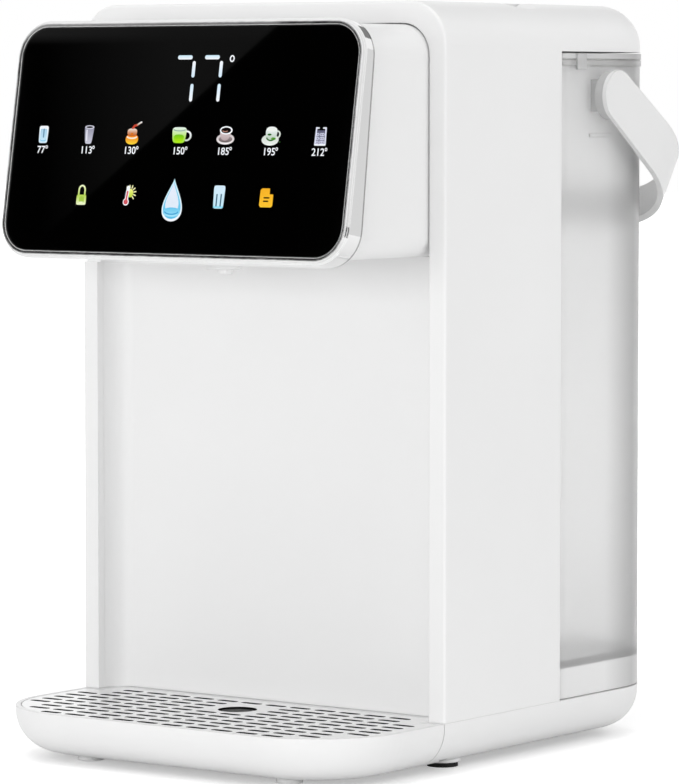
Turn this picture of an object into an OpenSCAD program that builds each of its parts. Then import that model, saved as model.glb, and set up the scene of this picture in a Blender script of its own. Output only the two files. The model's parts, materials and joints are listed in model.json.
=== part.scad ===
// Countertop instant hot water dispenser with a removable rear tank.
// +Z is up, the front faces -Y, and +X is the right side seen from the front.
// The origin lies on the counter, under the middle of the whole object.

/* [Housing] */
// Width of the housing
body_w = 190; // [184:1:200]
// Height of the housing above the counter
body_h = 316; // [310:1:330]
// Depth from the front rim to the back of the cover
body_depth = 171.5; // [166:0.5:180]
// Depth from the front rim to the start of the tank bay
bay_depth = 85; // [84:1:88]
// Plan radius of the four outer corners
corner_r = 36; // [32:1:40]
// Radius along the top edge of the cover
top_r = 18; // [15:1:20]
// Thickness of the moulded walls
wall = 2.6; // [2.2:0.1:3]
// Thickness of the top skin that carries the refill lid
top_t = 7.5; // [7:0.1:9]
// Height of the cover that overhangs the tank
cover_h = 20; // [18:0.5:24]
// Width of the front rim beside the recess
rim_w = 8; // [7:0.5:10]
// Thickness of the front rim
rim_t = 4; // [3:0.1:4.5]
// Radius along the front edge of the rim
front_r = 1.2; // [0.8:0.1:2]
// Depth of the cup recess behind the rim
recess = 13.5; // [12:0.5:16]
// Radius of the inner corners of the splash panel
recess_r = 9; // [4:0.5:9]
// Thickness of the splash panel
panel_t = 2.5; // [2:0.1:3]

/* [Base] */
// Height of the base and of the drip tray
base_top = 22; // [21:0.5:25]
// Clear height under the base
base_gap = 3; // [2.6:0.1:4]
// Radius of the rounded lower edge
edge_r = 17; // [14:0.5:18]
// Thickness of the deck under the tank
deck_t = 2.6; // [2:0.1:3]
// Diameter of a rubber foot
foot_d = 13; // [10:0.5:15]
// Thickness of a rubber foot
foot_h = 2; // [1.5:0.1:2.4]
// Distance of the front feet from the middle
foot_x = 75; // [70:0.5:76]
// Distance of the rear feet from the middle
rear_foot_x = 60; // [50:0.5:64]
// Diameter of a base screw
screw_d = 2.9; // [2.5:0.1:3.5]
// Diameter of the cord bush
gland_d = 9; // [8:0.1:9.2]
// Bore of the cord bush
gland_bore = 6.5; // [6:0.1:7]

/* [Head] */
// Height of the head's underside above the counter
head_z = 212; // [205:1:220]
// Height of body left above the head
head_drop = 9.6; // [9:0.1:12]
// Radius of the head's upper corners
head_r = 12.7; // [10:0.1:14]
// Radius of the head's lower corners
head_low_r = 8; // [5:0.5:12]
// Gap between the head and the rim
head_gap = 0.6; // [0.4:0.05:0.7]
// Lean of the control panel from upright, in degrees
panel_tilt = 9.5; // [5:0.5:12]
// Reach of the panel's middle in front of the rim
panel_reach = 54; // [50:1:60]
// Height of the panel's middle above the head's underside
panel_rise = 47.6; // [46:0.1:50]
// Width of the chromed frame
bezel_w = 180; // [178:0.5:184]
// Height of the chromed frame
bezel_h = 99.5; // [97:0.5:101]
// Corner radius of the chromed frame
bezel_r = 15.5; // [14:0.5:18]
// Depth of the chromed frame at its middle
bezel_depth = 8; // [7:0.5:9]
// Lean of the frame's seat on the head, in degrees
seat_tilt = 6.8; // [6:0.1:9.5]
// Width of the lip between the glass and the frame's edge
lip_w = 2.85; // [2.5:0.05:3.2]
// Set-back of the frame's outer step
lip_step = 1; // [0.6:0.1:1.4]
// Thickness of the control glass
glass_t = 3; // [2:0.1:4]
// Clearance round the control glass
glass_gap = 0.15; // [0.1:0.05:0.3]
// Reach of the spout in front of the rim
spout_reach = 23.6; // [20:0.5:28]
// Diameter of the spout's collar
collar_d = 14.5; // [12:0.5:18]
// Height of the spout's collar
collar_h = 6; // [4:0.5:7]
// Diameter of the spout's tip
tip_d = 7; // [6.5:0.5:9]
// Height of the spout's tip
tip_h = 2; // [1.5:0.5:5]
// Bore of the spout and of the fittings
flow_d = 3.6; // [3:0.1:4]

/* [Drip tray] */
// Reach of the tray in front of the rim
tray_reach = 73; // [68:1:80]
// Plan radius of the tray's front corners
tray_r = 43; // [38:1:48]
// Wall thickness of the tray
tray_wall = 2.2; // [1.8:0.1:2.6]
// Width of the ledge that carries the grate
tray_ledge = 2.2; // [1.5:0.1:3]
// Gap between the tray and the base
tray_gap = 0.4; // [0.3:0.05:0.6]
// Thickness of the grate
grate_t = 1; // [0.8:0.1:1.4]
// Clearance round the grate
grate_gap = 0.3; // [0.3:0.05:0.5]
// Length of a drain slot
slot_l = 10; // [8:0.5:10.5]
// Width of a drain slot
slot_w = 2.4; // [1.8:0.1:3]
// Spacing of the slots along a row
slot_pitch = 12.5; // [12.5:0.1:14]
// Spacing of the rows
row_pitch = 7.4; // [7:0.1:8.5]
// Diameter of the round hole in the grate
grate_hole_d = 16.5; // [14:0.5:18]
// Reach of the round hole in front of the rim
grate_hole_out = 15; // [12:0.5:18]
// Corner radius of the tongue that goes into the recess
tongue_r = 7; // [6:0.5:8]

/* [Tank] */
// Gap between the tank and its bay
tank_gap = 0.6; // [0.5:0.1:1]
// Inset of the tank's sides from the housing's sides
tank_inset = 1.4; // [1.2:0.1:2]
// Wall thickness of the tank
tank_wall = 2.2; // [1.8:0.1:2.5]
// Height of the tank's floor above the base
floor_rise = 16; // [15:0.5:20]
// Thickness of the tank's floor
floor_t = 2.5; // [2:0.1:3]
// Plan radius of the tank's rear corners
tank_r = 33; // [30:1:36]
// Thickness of the tank's lid
tank_lid_t = 2.4; // [2:0.1:3]
// Height of the flange along the tank's top
flange_h = 2.4; // [2:0.1:4]
// Reach of the flange beyond the wall
flange_out = 0.5; // [0.3:0.1:0.6]
// Width of the filling mouth
mouth_w = 96; // [80:1:110]
// Depth of the filling mouth
mouth_l = 40; // [36:1:42]
// Depth from the front rim to the middle of the filling mouth
mouth_back = 117; // [116:0.5:118]
// Distance of the level mark behind the front rim
mark_back = 108; // [100:1:110]
// Distance of the lid's catches behind the front rim
catch_back = 101; // [98:1:104]
// Length of the level mark
mark_l = 17; // [10:0.5:24]
// Height of the level mark above the tank's floor
mark_rise = 222; // [200:1:225]

/* [Carry handle] */
// Distance of the pivot behind the front rim
pivot_back = 116; // [112:1:120]
// Height of the pivot below the top of the housing
pivot_drop = 38.5; // [36:0.5:42]
// Droop of the resting handle below level, in degrees
droop = 34; // [30:1:38]
// Distance from the pivot to the back of the bar
arm_len = 86.2; // [84:0.2:92]
// Width of the strap
strap_w = 23.3; // [22:0.1:25]
// Width of the strap at the pivot
strap_end_w = 21.5; // [18:0.5:22]
// Thickness of the strap's arms
arm_t = 2.4; // [2.2:0.1:3]
// Thickness of the strap at the bar
bar_t = 4.6; // [4:0.1:5]
// Fall of the strap's upper edge towards the bar
bar_drop = 9; // [6:0.5:10]
// Length of that fall
bar_fall = 20; // [16:1:24]
// Gap between the strap and the housing's side
strap_gap = 6.6; // [6.2:0.1:7.4]
// Outer radius of the handle's corners
bail_r = 48.5; // [40:0.5:52]
// Side of the square pivot lug
lug_w = 13.5; // [12:0.5:15]
// Length of the pivot lug
lug_l = 4; // [3:0.1:4]
// Diameter of the pivot's stub axle
axle_d = 8; // [6:0.5:9]
// Radial clearance of the running fits
run_gap = 0.05; // [0.03:0.01:0.1]

/* [Refill lid] */
// Width of the refill lid
lid_w = 144; // [138:1:146]
// Depth from the front rim to the lid's front edge
lid_front = 52; // [48:1:56]
// Length of the refill lid
lid_l = 98; // [96:1:100]
// Thickness of the refill lid
lid_t = 4.2; // [3.8:0.1:4.6]
// Width of the opening under the refill lid
fill_w = 124; // [112:1:130]
// Length of the opening under the refill lid
fill_l = 46; // [43:0.5:47]
// Gap round the refill lid
lid_gap = 0.4; // [0.3:0.05:0.5]
// Diameter of the hinge pin
pin_d = 2; // [1.6:0.1:2.2]
// Width of a finger scoop
scoop_w = 26; // [20:1:32]
// Depth of a finger scoop
scoop_h = 2.4; // [1.5:0.1:3]
// Distance of the scoops behind the front rim
scoop_back = 74; // [66:1:76]

/* [Water path] */
// Sideways place of the tank outlet and the pump
pump_x = 45; // [42:1:50]
// Height of the tank outlet and the pump
outlet_z = 37; // [36:0.5:38]
// Depth from the front rim to the middle of pump and heater
works_back = 48; // [47:0.5:49]
// Outer diameter of the hoses
hose_od = 9; // [8.5:0.1:9.5]
// Inner diameter of the hoses
hose_id = 6.2; // [6.2:0.05:6.5]
// Bend radius of the outlet hose
bend_r = 16; // [12:1:18]
// Diameter of the heater tube
heater_d = 38; // [34:1:40]
// Length of the heater tube
heater_l = 120; // [100:1:124]
// Height of the heater's lower cap
heater_z = 66; // [64:1:68]
// Diameter of the pump head
pump_d = 36; // [34:0.5:37]
// Diameter of the pump motor
motor_d = 28; // [24:0.5:29]
// Diameter of the impeller
impeller_d = 26; // [22:0.5:27]
// Diameter of the impeller shaft
shaft_d = 3; // [2.5:0.1:3.5]
// Diameter of the tank's outlet spigot
spigot_d = 16; // [15.5:0.1:16.2]
// Width of the power board
board_w = 62; // [56:1:64]
// Height of the power board
board_h = 136; // [120:1:140]
// Travel of the outlet valve
valve_lift = 2; // [1.5:0.1:2.4]

/* [Hidden] */
$fn = 64;
// Overshoot of a cut, and a length beyond the whole part
over = 1;
far = 400;
// Gap between pieces that are fixed together, and of a piece lying in its seat
fit = 0.2;
rest_gap = 0.1;
strap_in = body_w / 2 + strap_gap;
strap_out = strap_in + arm_t;
handle_back = pivot_back + arm_len * cos(droop) + (strap_w / 2 - bar_drop) * sin(droop);
front_y = tray_reach - (tray_reach + handle_back) / 2;
function back(d) = front_y + d;
rear_y = back(body_depth);
seam_y = back(bay_depth);
wall_y = seam_y - wall;
tray_front = back(-tray_reach);
cover_z = body_h - cover_h;
open_half = body_w / 2 - rim_w;
head_top = body_h - head_drop;
head_w = 2 * (open_half - head_gap);
head_lap = 4;
panel_z = head_z + panel_rise;
glass_w = bezel_w - 2 * (lip_w + glass_gap);
glass_h = bezel_h - 2 * (lip_w + glass_gap);
glass_r = bezel_r - lip_w - glass_gap;
lip_h = 0.5;
glass_ledge = 4;
neck_d = 9.6;
neck_h = 2;
tongue_gap = 0.7;
notch_gap = 0.3;
tongue_half = open_half - tray_gap;
tongue_y = back(recess - tongue_gap);
notch_y = back(recess + notch_gap);
pocket_z = base_top - grate_t - 2 * rest_gap;
grate_edge = tray_wall + grate_gap;
base_floor = base_gap + wall;
tank_half = body_w / 2 - tank_inset;
tank_front = seam_y + tank_gap;
tank_rear = rear_y;
tank_rest = 0.3;
tank_z = base_top + tank_rest;
tank_floor = base_top + floor_rise;
tank_top = cover_z - tank_gap - tank_lid_t;
tank_front_r = 6;
mouth_y = back(mouth_back);
mouth_r = 8;
gasket_h = 3;
gasket_t = 1.4;
sump_z = outlet_z - 9;
sump_w = 34;
sump_l = 32;
pivot_y = back(pivot_back);
pivot_z = body_h - pivot_drop;
lug_x = tank_half + lug_l;
hub_gap = 0.3;
hub_x = lug_x + hub_gap;
axle_x = strap_in + arm_t / 2;
lid_y0 = back(lid_front);
lid_y1 = lid_y0 + lid_l;
lid_r = 6;
hinge_y = lid_y1 - lid_t / 2;
hinge_z = body_h - lid_t / 2;
pin_end = 4;
works_y = back(works_back);
cap_h = 10;
heater_top = heater_z + heater_l + 2 * cap_h;
barb_d = hose_id - fit;
barb_l = 8;
pump_l = 16;
motor_l = 21;
shaft_l = 10;
chamber_l = 9;
feed_z = outlet_z + 10;
feed_r = 10;
board_t = 1.6;
board_gap = 6;
board_x = wall + 2.4 - body_w / 2;
board_z = heater_z - 4;
socket_d = 21.6;
socket_l = 12;
seal_y = seam_y - 4;
seal_d = 1.8;
stem_d = 3;
stem_y = seam_y - 6;
seat_y = tank_front + 1;
valve_d = 11.8;
chamber_y = tank_front + 16;
poppet_d = 8.6;
poppet_seal_t = 0.9;
poppet_y = seat_y + poppet_seal_t + rest_gap + valve_lift;
poppet_t = 2;
front_foot = 27;
rear_foot = 30;
foot_spots = [[foot_x, back(front_foot)], [rear_foot_x, rear_y - rear_foot]];
front_screw_x = 70;
rear_screw_x = 35;
front_screw = 12;
rear_screw = 25;
screw_spots = [[front_screw_x, seam_y + front_screw], [rear_screw_x, rear_y - rear_screw]];
screw_l = 10;
gland_x = -45;
gland_z = 13.5;
gland_l = 12;

// Extrudes a Y-Z section along X
module along_x(x0, x1) {
    translate([x0, 0, 0]) rotate([90, 0, 90]) linear_extrude(x1 - x0) children();
}

// Extrudes an X-Z section along Y
module along_y(y0, y1) {
    translate([0, y1, 0]) rotate([90, 0, 0]) linear_extrude(y1 - y0) children();
}

// A round rod along Y on the axis of the outlet and the pump
module outlet_rod(y0, y1, d) {
    translate([pump_x, y1, outlet_z]) rotate([90, 0, 0]) cylinder(h = y1 - y0, d = d);
}

// A round rod along X
module rod_x(x0, x1, y, z, d) {
    translate([x0, y, z]) rotate([0, 90, 0]) cylinder(h = x1 - x0, d = d);
}

module both_sides() {
    children();
    mirror([1, 0, 0]) children();
}

// A box from one corner to the opposite corner
module block(low, high) {
    translate(low) cube(high - low);
}

module slab_2d(w, d, r) {
    square([w - 2 * r, d], center = true);
    square([w, d - 2 * r], center = true);
    for (x = [-1, 1], y = [-1, 1])
        translate([x * (w / 2 - r), y * (d / 2 - r)]) circle(r);
}

// An outline with a flat foot and two round upper corners
module arch_2d(w, z0, z1, r) {
    translate([-w / 2, z0]) square([w, z1 - r - z0]);
    translate([-w / 2 + r, z0]) square([w - 2 * r, z1 - z0]);
    for (side = [0, 1])
        mirror([side, 0]) translate([w / 2 - r, z1 - r]) quarter_2d(r);
}

// An outline with two round corners at its low end
module bay_2d(w, y0, y1, r) {
    translate([0, y0 + y1]) mirror([0, 1]) arch_2d(w, y0, y1, r);
}

// An outline with a corner radius of its own at each end
module double_arch_2d(w, a0, a1, r0, r1) {
    translate([-w / 2, a0 + r0]) square([w, a1 - r1 - a0 - r0]);
    translate([-w / 2 + r0, a0]) square([w - 2 * r0, a1 - r1 - a0]);
    translate([-w / 2 + r1, a0 + r0]) square([w - 2 * r1, a1 - a0 - r0]);
    for (x = [-1, 1]) {
        translate([x * (w / 2 - r0), a0 + r0]) circle(r0);
        translate([x * (w / 2 - r1), a1 - r1]) circle(r1);
    }
}

module quarter_2d(r) {
    intersection() {
        circle(r);
        square(r);
    }
}

// Section of a slab's outer edge, rounded by e at the height z_round
module edge_2d(r, z_round, z_flat, e) {
    side = z_flat > z_round ? 1 : -1;
    tall = abs(z_flat - z_round);
    translate([0, min(z_round + side * e, z_flat)]) square([r, tall - e]);
    translate([0, min(z_round, z_flat)]) square([r - e, tall]);
    translate([r - e, z_round + side * e]) mirror([0, side > 0 ? 1 : 0]) quarter_2d(e);
}

// A slab with round plan corners whose upper or lower edge is rounded all the way round
module rounded_slab(w, y0, y1, r, z_round, z_flat, e) {
    x1 = w / 2 - r;
    both_sides() {
        translate([x1, y1 - r, 0]) rotate_extrude(angle = 90) edge_2d(r, z_round, z_flat, e);
        translate([x1, y0 + r, 0]) rotate(-90) rotate_extrude(angle = 90) edge_2d(r, z_round, z_flat, e);
        translate([x1, 0, 0]) along_y(y0 + r, y1 - r) edge_2d(r, z_round, z_flat, e);
    }
    translate([0, y1 - r, 0]) along_x(-x1, x1) edge_2d(r, z_round, z_flat, e);
    translate([0, y0 + r, 0]) mirror([0, 1, 0]) along_x(-x1, x1) edge_2d(r, z_round, z_flat, e);
    block([-x1, y0 + r, min(z_round, z_flat)], [x1, y1 - r, max(z_round, z_flat)]);
}

// The bowl that the base and the drip tray share, offset inwards, with the corners of the one or the other
module bowl(inset, r) {
    top = inset > 0 ? base_top + over : base_top;
    rounded_slab(body_w - 2 * inset, tray_front + inset, rear_y - inset, r - inset,
        base_gap + inset, top, edge_r - inset);
}

// The housing behind the front edge, offset inwards
module shell_form(inset, y0, y1) {
    drop = inset > 0 ? over : 0;
    half = body_w / 2 - inset;
    intersection() {
        rounded_slab(2 * half, y0 - 2 * corner_r, rear_y - inset, corner_r - inset,
            body_h - inset, cover_z - drop, top_r - inset);
        block([-body_w, y0, 0], [body_w, rear_y + over, body_h + over]);
    }
    block([-half, y0, base_top - drop], [half, y1, cover_z + over]);
}

// The front edge of the housing, rolled over the sides and the top
module rolled_front() {
    x1 = body_w / 2 - top_r;
    z1 = body_h - top_r;
    y1 = front_y + front_r;
    along_y(front_y, y1) arch_2d(body_w - 2 * front_r, base_top, body_h - front_r, top_r - front_r);
    both_sides() {
        translate([body_w / 2 - front_r, y1, base_top]) rotate(-90)
            linear_extrude(z1 - base_top) quarter_2d(front_r);
        translate([x1, y1, z1]) rotate([90, 0, 0]) rotate_extrude(angle = 90)
            translate([top_r - front_r, 0]) quarter_2d(front_r);
    }
    translate([0, y1, body_h - front_r]) along_x(-x1, x1) rotate(90) quarter_2d(front_r);
}

module outer_shell() {
    scoop_r = (scoop_w * scoop_w / 4 + scoop_h * scoop_h) / (2 * scoop_h);
    color("white") difference() {
        union() {
            rolled_front();
            shell_form(0, front_y + front_r, seam_y);
        }
        intersection() {
            shell_form(wall, back(rim_t), seam_y + over);
            block([-body_w, front_y, 0], [body_w, rear_y, body_h - top_t]);
        }
        along_y(front_y - over, back(rim_t) + over)
            arch_2d(2 * open_half, base_top - over, head_top + head_gap, head_r + head_gap);
        translate([0, 0, body_h - lid_t - fit]) linear_extrude(lid_t + over)
            bay_2d(lid_w + 2 * lid_gap, lid_y0 - lid_gap, lid_y1 + lid_gap, lid_r + lid_gap);
        translate([0, mouth_y, cover_z]) linear_extrude(cover_h) slab_2d(fill_w, fill_l, mouth_r);
        both_sides() {
            rod_x(lid_w / 2, body_w / 2 + over, back(scoop_back), body_h - scoop_h + scoop_r, 2 * scoop_r);
            rod_x(lid_w / 2, lid_w / 2 + pin_end, hinge_y, hinge_z, pin_d);
        }
    }
}

module refill_lid() {
    rim_in = 1.5;
    rim_h = 3;
    color("whitesmoke") difference() {
        union() {
            translate([0, 0, body_h - lid_t]) linear_extrude(lid_t) bay_2d(lid_w, lid_y0, hinge_y, lid_r);
            rod_x(-lid_w / 2, lid_w / 2, hinge_y, hinge_z, lid_t);
            translate([0, mouth_y, body_h - lid_t - rim_h]) linear_extrude(rim_h + over) difference() {
                slab_2d(fill_w - 2 * rim_in, fill_l - 2 * rim_in, mouth_r - rim_in);
                slab_2d(fill_w - 4 * rim_in, fill_l - 4 * rim_in, mouth_r - 2 * rim_in);
            }
        }
        rod_x(-lid_w, lid_w, hinge_y, hinge_z, pin_d + 2 * run_gap);
    }
}

module lid_hinge_pin() {
    color("silver") rod_x(-lid_w / 2 - pin_end, lid_w / 2 + pin_end, hinge_y, hinge_z, pin_d);
}

// The panel's sides line the recess behind the rim
module splash_panel() {
    outer = open_half + panel_t;
    color("white") translate([0, 0, base_top]) linear_extrude(head_z - fit - base_top) difference() {
        translate([-outer, back(rim_t)]) square([2 * outer, recess + panel_t - rim_t]);
        arch_2d(2 * open_half, back(rim_t) - over, back(recess), recess_r);
    }
}

// Places flat pieces on the leaning control panel, with Z out of its face
module at_panel(depth) {
    translate([0, back(-panel_reach), panel_z]) rotate([90 - panel_tilt, 0, 0])
        translate([0, 0, -depth]) children();
}

// All that lies in front of the seat between the chromed frame and the head
module before_seat() {
    translate([0, back(-panel_reach), panel_z]) rotate([90 - seat_tilt, 0, 0])
        translate([0, 0, -bezel_depth]) linear_extrude(far) square(far, center = true);
}

module head_cover() {
    color("white") difference() {
        along_y(back(-panel_reach - bezel_h / 2), back(recess + head_lap)) difference() {
            double_arch_2d(head_w, head_z, head_top, head_low_r, head_r);
            double_arch_2d(head_w - 2 * wall, head_z + wall, head_top - wall,
                head_low_r - wall, head_r - wall);
        }
        before_seat();
        translate([0, back(-spout_reach), head_z - over])
            cylinder(h = wall + 2 * over, d = neck_d + 2 * fit);
    }
}

// The frame is cut off along its seat, so it is deeper at the top than at the foot
module bezel() {
    deep = 2 * bezel_depth;
    color("silver") difference() {
        intersection() {
            union() {
                at_panel(deep) linear_extrude(deep - lip_step) slab_2d(bezel_w, bezel_h, bezel_r);
                at_panel(deep) linear_extrude(deep + lip_h)
                    slab_2d(bezel_w - 2 * lip_step, bezel_h - 2 * lip_step, bezel_r - lip_step);
            }
            before_seat();
        }
        at_panel(glass_t) linear_extrude(glass_t + over)
            slab_2d(glass_w + 2 * glass_gap, glass_h + 2 * glass_gap, glass_r + glass_gap);
        at_panel(deep + over) linear_extrude(deep)
            slab_2d(glass_w - 2 * glass_ledge, glass_h - 2 * glass_ledge, glass_r - glass_ledge);
    }
}

module touch_glass() {
    color("black") at_panel(glass_t) linear_extrude(glass_t) slab_2d(glass_w, glass_h, glass_r);
}

module control_board() {
    side_in = 12;
    end_in = 8;
    plug = [30, 8, 5];
    color("darkgreen") {
        at_panel(glass_t + board_t) linear_extrude(board_t)
            slab_2d(glass_w - 2 * side_in, glass_h - 2 * end_in, board_t);
        at_panel(glass_t + board_t + plug[2]) translate([plug[0], -glass_h / 4, 0])
            linear_extrude(plug[2] + board_t / 2) square([plug[0], plug[1]], center = true);
    }
}

module spout_nozzle() {
    tip_z = head_z - collar_h - tip_h;
    color("gainsboro") translate([0, back(-spout_reach), 0]) difference() {
        union() {
            translate([0, 0, tip_z]) cylinder(h = tip_h + over, d = tip_d);
            translate([0, 0, head_z - collar_h]) cylinder(h = collar_h, d = collar_d);
            translate([0, 0, head_z - over]) cylinder(h = wall + neck_h + over, d = neck_d);
            translate([0, 0, head_z]) cylinder(h = wall + neck_h + barb_l, d = barb_d);
        }
        translate([0, 0, tip_z - over]) cylinder(h = far, d = flow_d);
    }
}

module base_pan() {
    pad_edge = 1;
    screw_gap = 0.25;
    color("white") difference() {
        union() {
            intersection() {
                bowl(0, corner_r);
                block([-body_w, front_y, 0], [body_w, rear_y + over, base_top]);
            }
            both_sides() for (spot = foot_spots) translate([spot[0], spot[1], foot_h])
                cylinder(h = base_floor - foot_h, d = foot_d + 2 * pad_edge);
        }
        intersection() {
            bowl(wall, corner_r);
            block([-body_w, notch_y + wall, 0], [body_w, rear_y, base_top + over]);
        }
        block([-open_half, front_y - over, 0], [open_half, notch_y, base_top + over]);
        both_sides() for (spot = screw_spots) translate([spot[0], spot[1], 0])
            cylinder(h = base_floor + over, d = screw_d + 2 * screw_gap);
        translate([gland_x, rear_y + over, gland_z]) rotate([90, 0, 0])
            cylinder(h = gland_l + 2 * over, d = gland_d + fit);
    }
}

module rubber_feet() {
    color("dimgray") both_sides() for (spot = foot_spots)
        translate([spot[0], spot[1], 0]) cylinder(h = foot_h, d = foot_d);
}

module base_screws() {
    cap_t = 1.8;
    color("silver") both_sides() for (spot = screw_spots) translate([spot[0], spot[1], 0]) {
        translate([0, 0, base_gap - cap_t]) cylinder(h = cap_t, d = 2 * screw_d);
        translate([0, 0, base_gap - over]) cylinder(h = screw_l + over, d = screw_d);
    }
}

module cord_gland() {
    flange_t = 2.5;
    flange_d = gland_d + 2;
    color("dimgray") translate([gland_x, rear_y - 0.3, gland_z]) rotate([90, 0, 0]) difference() {
        union() {
            cylinder(h = gland_l, d = gland_d);
            translate([0, 0, gland_l - flange_t]) cylinder(h = flange_t, d = flange_d);
        }
        translate([0, 0, -over]) cylinder(h = gland_l + 2 * over, d = gland_bore);
    }
}

module tank_seat() {
    boss_d = 8;
    boss_h = base_top - deck_t / 2 - base_floor;
    color("white") difference() {
        union() {
            intersection() {
                bowl(wall + fit, corner_r);
                block([-body_w, wall_y, base_top - deck_t], [body_w, rear_y, base_top]);
            }
            both_sides() for (spot = screw_spots)
                translate([spot[0], spot[1], base_floor]) cylinder(h = boss_h, d = boss_d);
        }
        both_sides() for (spot = screw_spots)
            translate([spot[0], spot[1], base_floor - over]) cylinder(h = screw_l, d = screw_d);
    }
}

module bay_wall() {
    half = body_w / 2 - wall - fit;
    post_d = 6;
    post_in = 10;
    color("white") difference() {
        union() {
            block([-half, wall_y, base_top], [half, seam_y, body_h - top_r]);
            for (x = [post_d, board_w - post_d], z = [post_in, board_h - post_in])
                translate([board_x + x, wall_y + over, board_z + z]) rotate([90, 0, 0])
                    cylinder(h = board_gap + over, d = post_d);
        }
        outlet_rod(wall_y - over, seam_y + over, socket_d + 2 * fit);
    }
}

module power_board() {
    relay = [20, 16, 18];
    choke = [24, 20, 24];
    can_d = 14;
    can_h = 24;
    side = 6;
    sunk = [0, board_t / 2, 0];
    translate([board_x, wall_y - board_gap - board_t, board_z]) {
        color("darkgreen") cube([board_w, board_t, board_h]);
        color("dimgray") {
            translate([side, -relay[1], relay[2]]) cube(relay + sunk);
            translate([board_w - side - choke[0], -choke[1], 2 * choke[2]]) cube(choke + sunk);
            for (z = [board_h - 3 * can_d - side, board_h - can_d - 1.5 * side])
                translate([side + can_d / 2, board_t / 2, z]) rotate([90, 0, 0])
                    cylinder(h = can_h, d = can_d);
        }
    }
}

module tank_socket() {
    mouth_d = spigot_d + 0.6;
    floor_y = seam_y - 9.5;
    flange_t = 2.5;
    flange_d = 28;
    groove_w = 2;
    groove_h = 1.7;
    pin_t = 2.4;
    web = [6, 2, 1.2];
    color("whitesmoke") {
        difference() {
            union() {
                outlet_rod(seam_y - socket_l, seam_y, socket_d);
                outlet_rod(wall_y - flange_t, wall_y, flange_d);
                outlet_rod(seam_y - socket_l - barb_l, seam_y - socket_l + over, barb_d);
            }
            outlet_rod(floor_y, seam_y + over, mouth_d);
            outlet_rod(seam_y - socket_l - barb_l - over, seam_y, flow_d);
            translate([pump_x, seal_y, outlet_z]) rotate([90, 0, 0]) rotate_extrude()
                translate([mouth_d / 2 - over, -groove_w / 2]) square([groove_h + over, groove_w]);
        }
        outlet_rod(floor_y - web[1], stem_y - rest_gap, pin_t);
        translate([pump_x - web[0] / 2, floor_y - web[1], outlet_z - web[2] / 2]) cube(web);
    }
}

module socket_seal() {
    color("dimgray") translate([pump_x, seal_y, outlet_z]) rotate([90, 0, 0]) rotate_extrude()
        translate([spigot_d / 2 + seal_d / 2 + rest_gap, 0]) circle(d = seal_d);
}

module hose_2d() {
    difference() {
        circle(d = hose_od);
        circle(d = hose_id);
    }
}

// A quarter bend of hose in the X-Y plane, from the angle turn onwards
module hose_bend(r, turn) {
    rotate(turn) rotate_extrude(angle = 90) translate([r, 0]) hose_2d();
}

module inlet_hose() {
    color("lightgray") difference() {
        outlet_rod(works_y + pump_l / 2 + fit, seam_y - socket_l - fit, hose_od);
        outlet_rod(works_y, seam_y, hose_id);
    }
}

module feed_hose() {
    bend_z = feed_z + feed_r;
    color("lightgray") {
        along_x(feed_r, pump_x - pump_d / 2 + fit) translate([works_y, feed_z]) hose_2d();
        translate([feed_r, works_y, bend_z]) rotate([90, 0, 0]) hose_bend(feed_r, 180);
        translate([0, works_y, bend_z]) linear_extrude(heater_z - fit - bend_z) hose_2d();
    }
}

// The hose is drawn from the spout's neck, which lies on the origin
module outlet_hose() {
    run = works_back + spout_reach;
    rise = head_z + wall + neck_h - heater_top;
    color("lightgray") translate([0, back(-spout_reach), head_z + wall + neck_h + fit]) {
        linear_extrude(bend_r) hose_2d();
        translate([0, bend_r, bend_r]) rotate([90, 0, 90]) hose_bend(bend_r, 90);
        along_y(bend_r, run - bend_r) translate([0, 2 * bend_r]) hose_2d();
        translate([0, run - bend_r, bend_r]) rotate([90, 0, 90]) hose_bend(bend_r, 0);
        translate([0, run, -rise]) linear_extrude(bend_r + rise) hose_2d();
    }
}

module pump_motor() {
    y1 = works_y - pump_l / 2;
    end_gap = 0.5;
    color("silver") difference() {
        outlet_rod(y1 - motor_l, y1, motor_d);
        outlet_rod(y1 - shaft_l - end_gap, y1 + over, shaft_d + 2 * run_gap);
    }
}

module pump_head() {
    y0 = works_y - pump_l / 2;
    y1 = works_y + pump_l / 2;
    chamber_gap = 1.5;
    shaft_gap = 1;
    color("dimgray") difference() {
        union() {
            outlet_rod(y0, y1, pump_d);
            outlet_rod(y1 - over, y1 + barb_l, barb_d);
            rod_x(pump_x - pump_d / 2 - barb_l, pump_x - pump_d / 4, works_y, feed_z, barb_d);
        }
        outlet_rod(works_y - chamber_l / 2, works_y + chamber_l / 2, impeller_d + 2 * chamber_gap);
        outlet_rod(y0 - over, works_y, shaft_d + 2 * shaft_gap);
        outlet_rod(works_y, y1 + barb_l + over, flow_d);
        rod_x(pump_x - pump_d, pump_x, works_y, feed_z, flow_d);
    }
}

module pump_impeller() {
    plate_t = 1.5;
    vane_t = 1.4;
    hub_d = 9;
    side_gap = 1;
    y0 = works_y - chamber_l / 2 + side_gap;
    y1 = works_y + chamber_l / 2 - side_gap;
    color("gainsboro") {
        outlet_rod(works_y - pump_l / 2 - shaft_l, y0 + over, shaft_d);
        outlet_rod(y0, y0 + plate_t, impeller_d);
        outlet_rod(y0, y1, hub_d);
        translate([pump_x, 0, outlet_z]) for (turn = [0:72:288]) rotate([0, turn, 0])
            block([hub_d / 3, y0 + plate_t / 2, -vane_t / 2], [impeller_d / 2 - vane_t / 2, y1, vane_t / 2]);
    }
}

module pump_bracket() {
    half = 12;
    depth = 14;
    y1 = works_y - pump_l / 2 - 3;
    color("dimgray") difference() {
        block([pump_x - half, y1 - depth, base_floor], [pump_x + half, y1, outlet_z - motor_d / 4]);
        outlet_rod(y1 - depth - over, y1 + over, motor_d + fit);
    }
}

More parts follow.
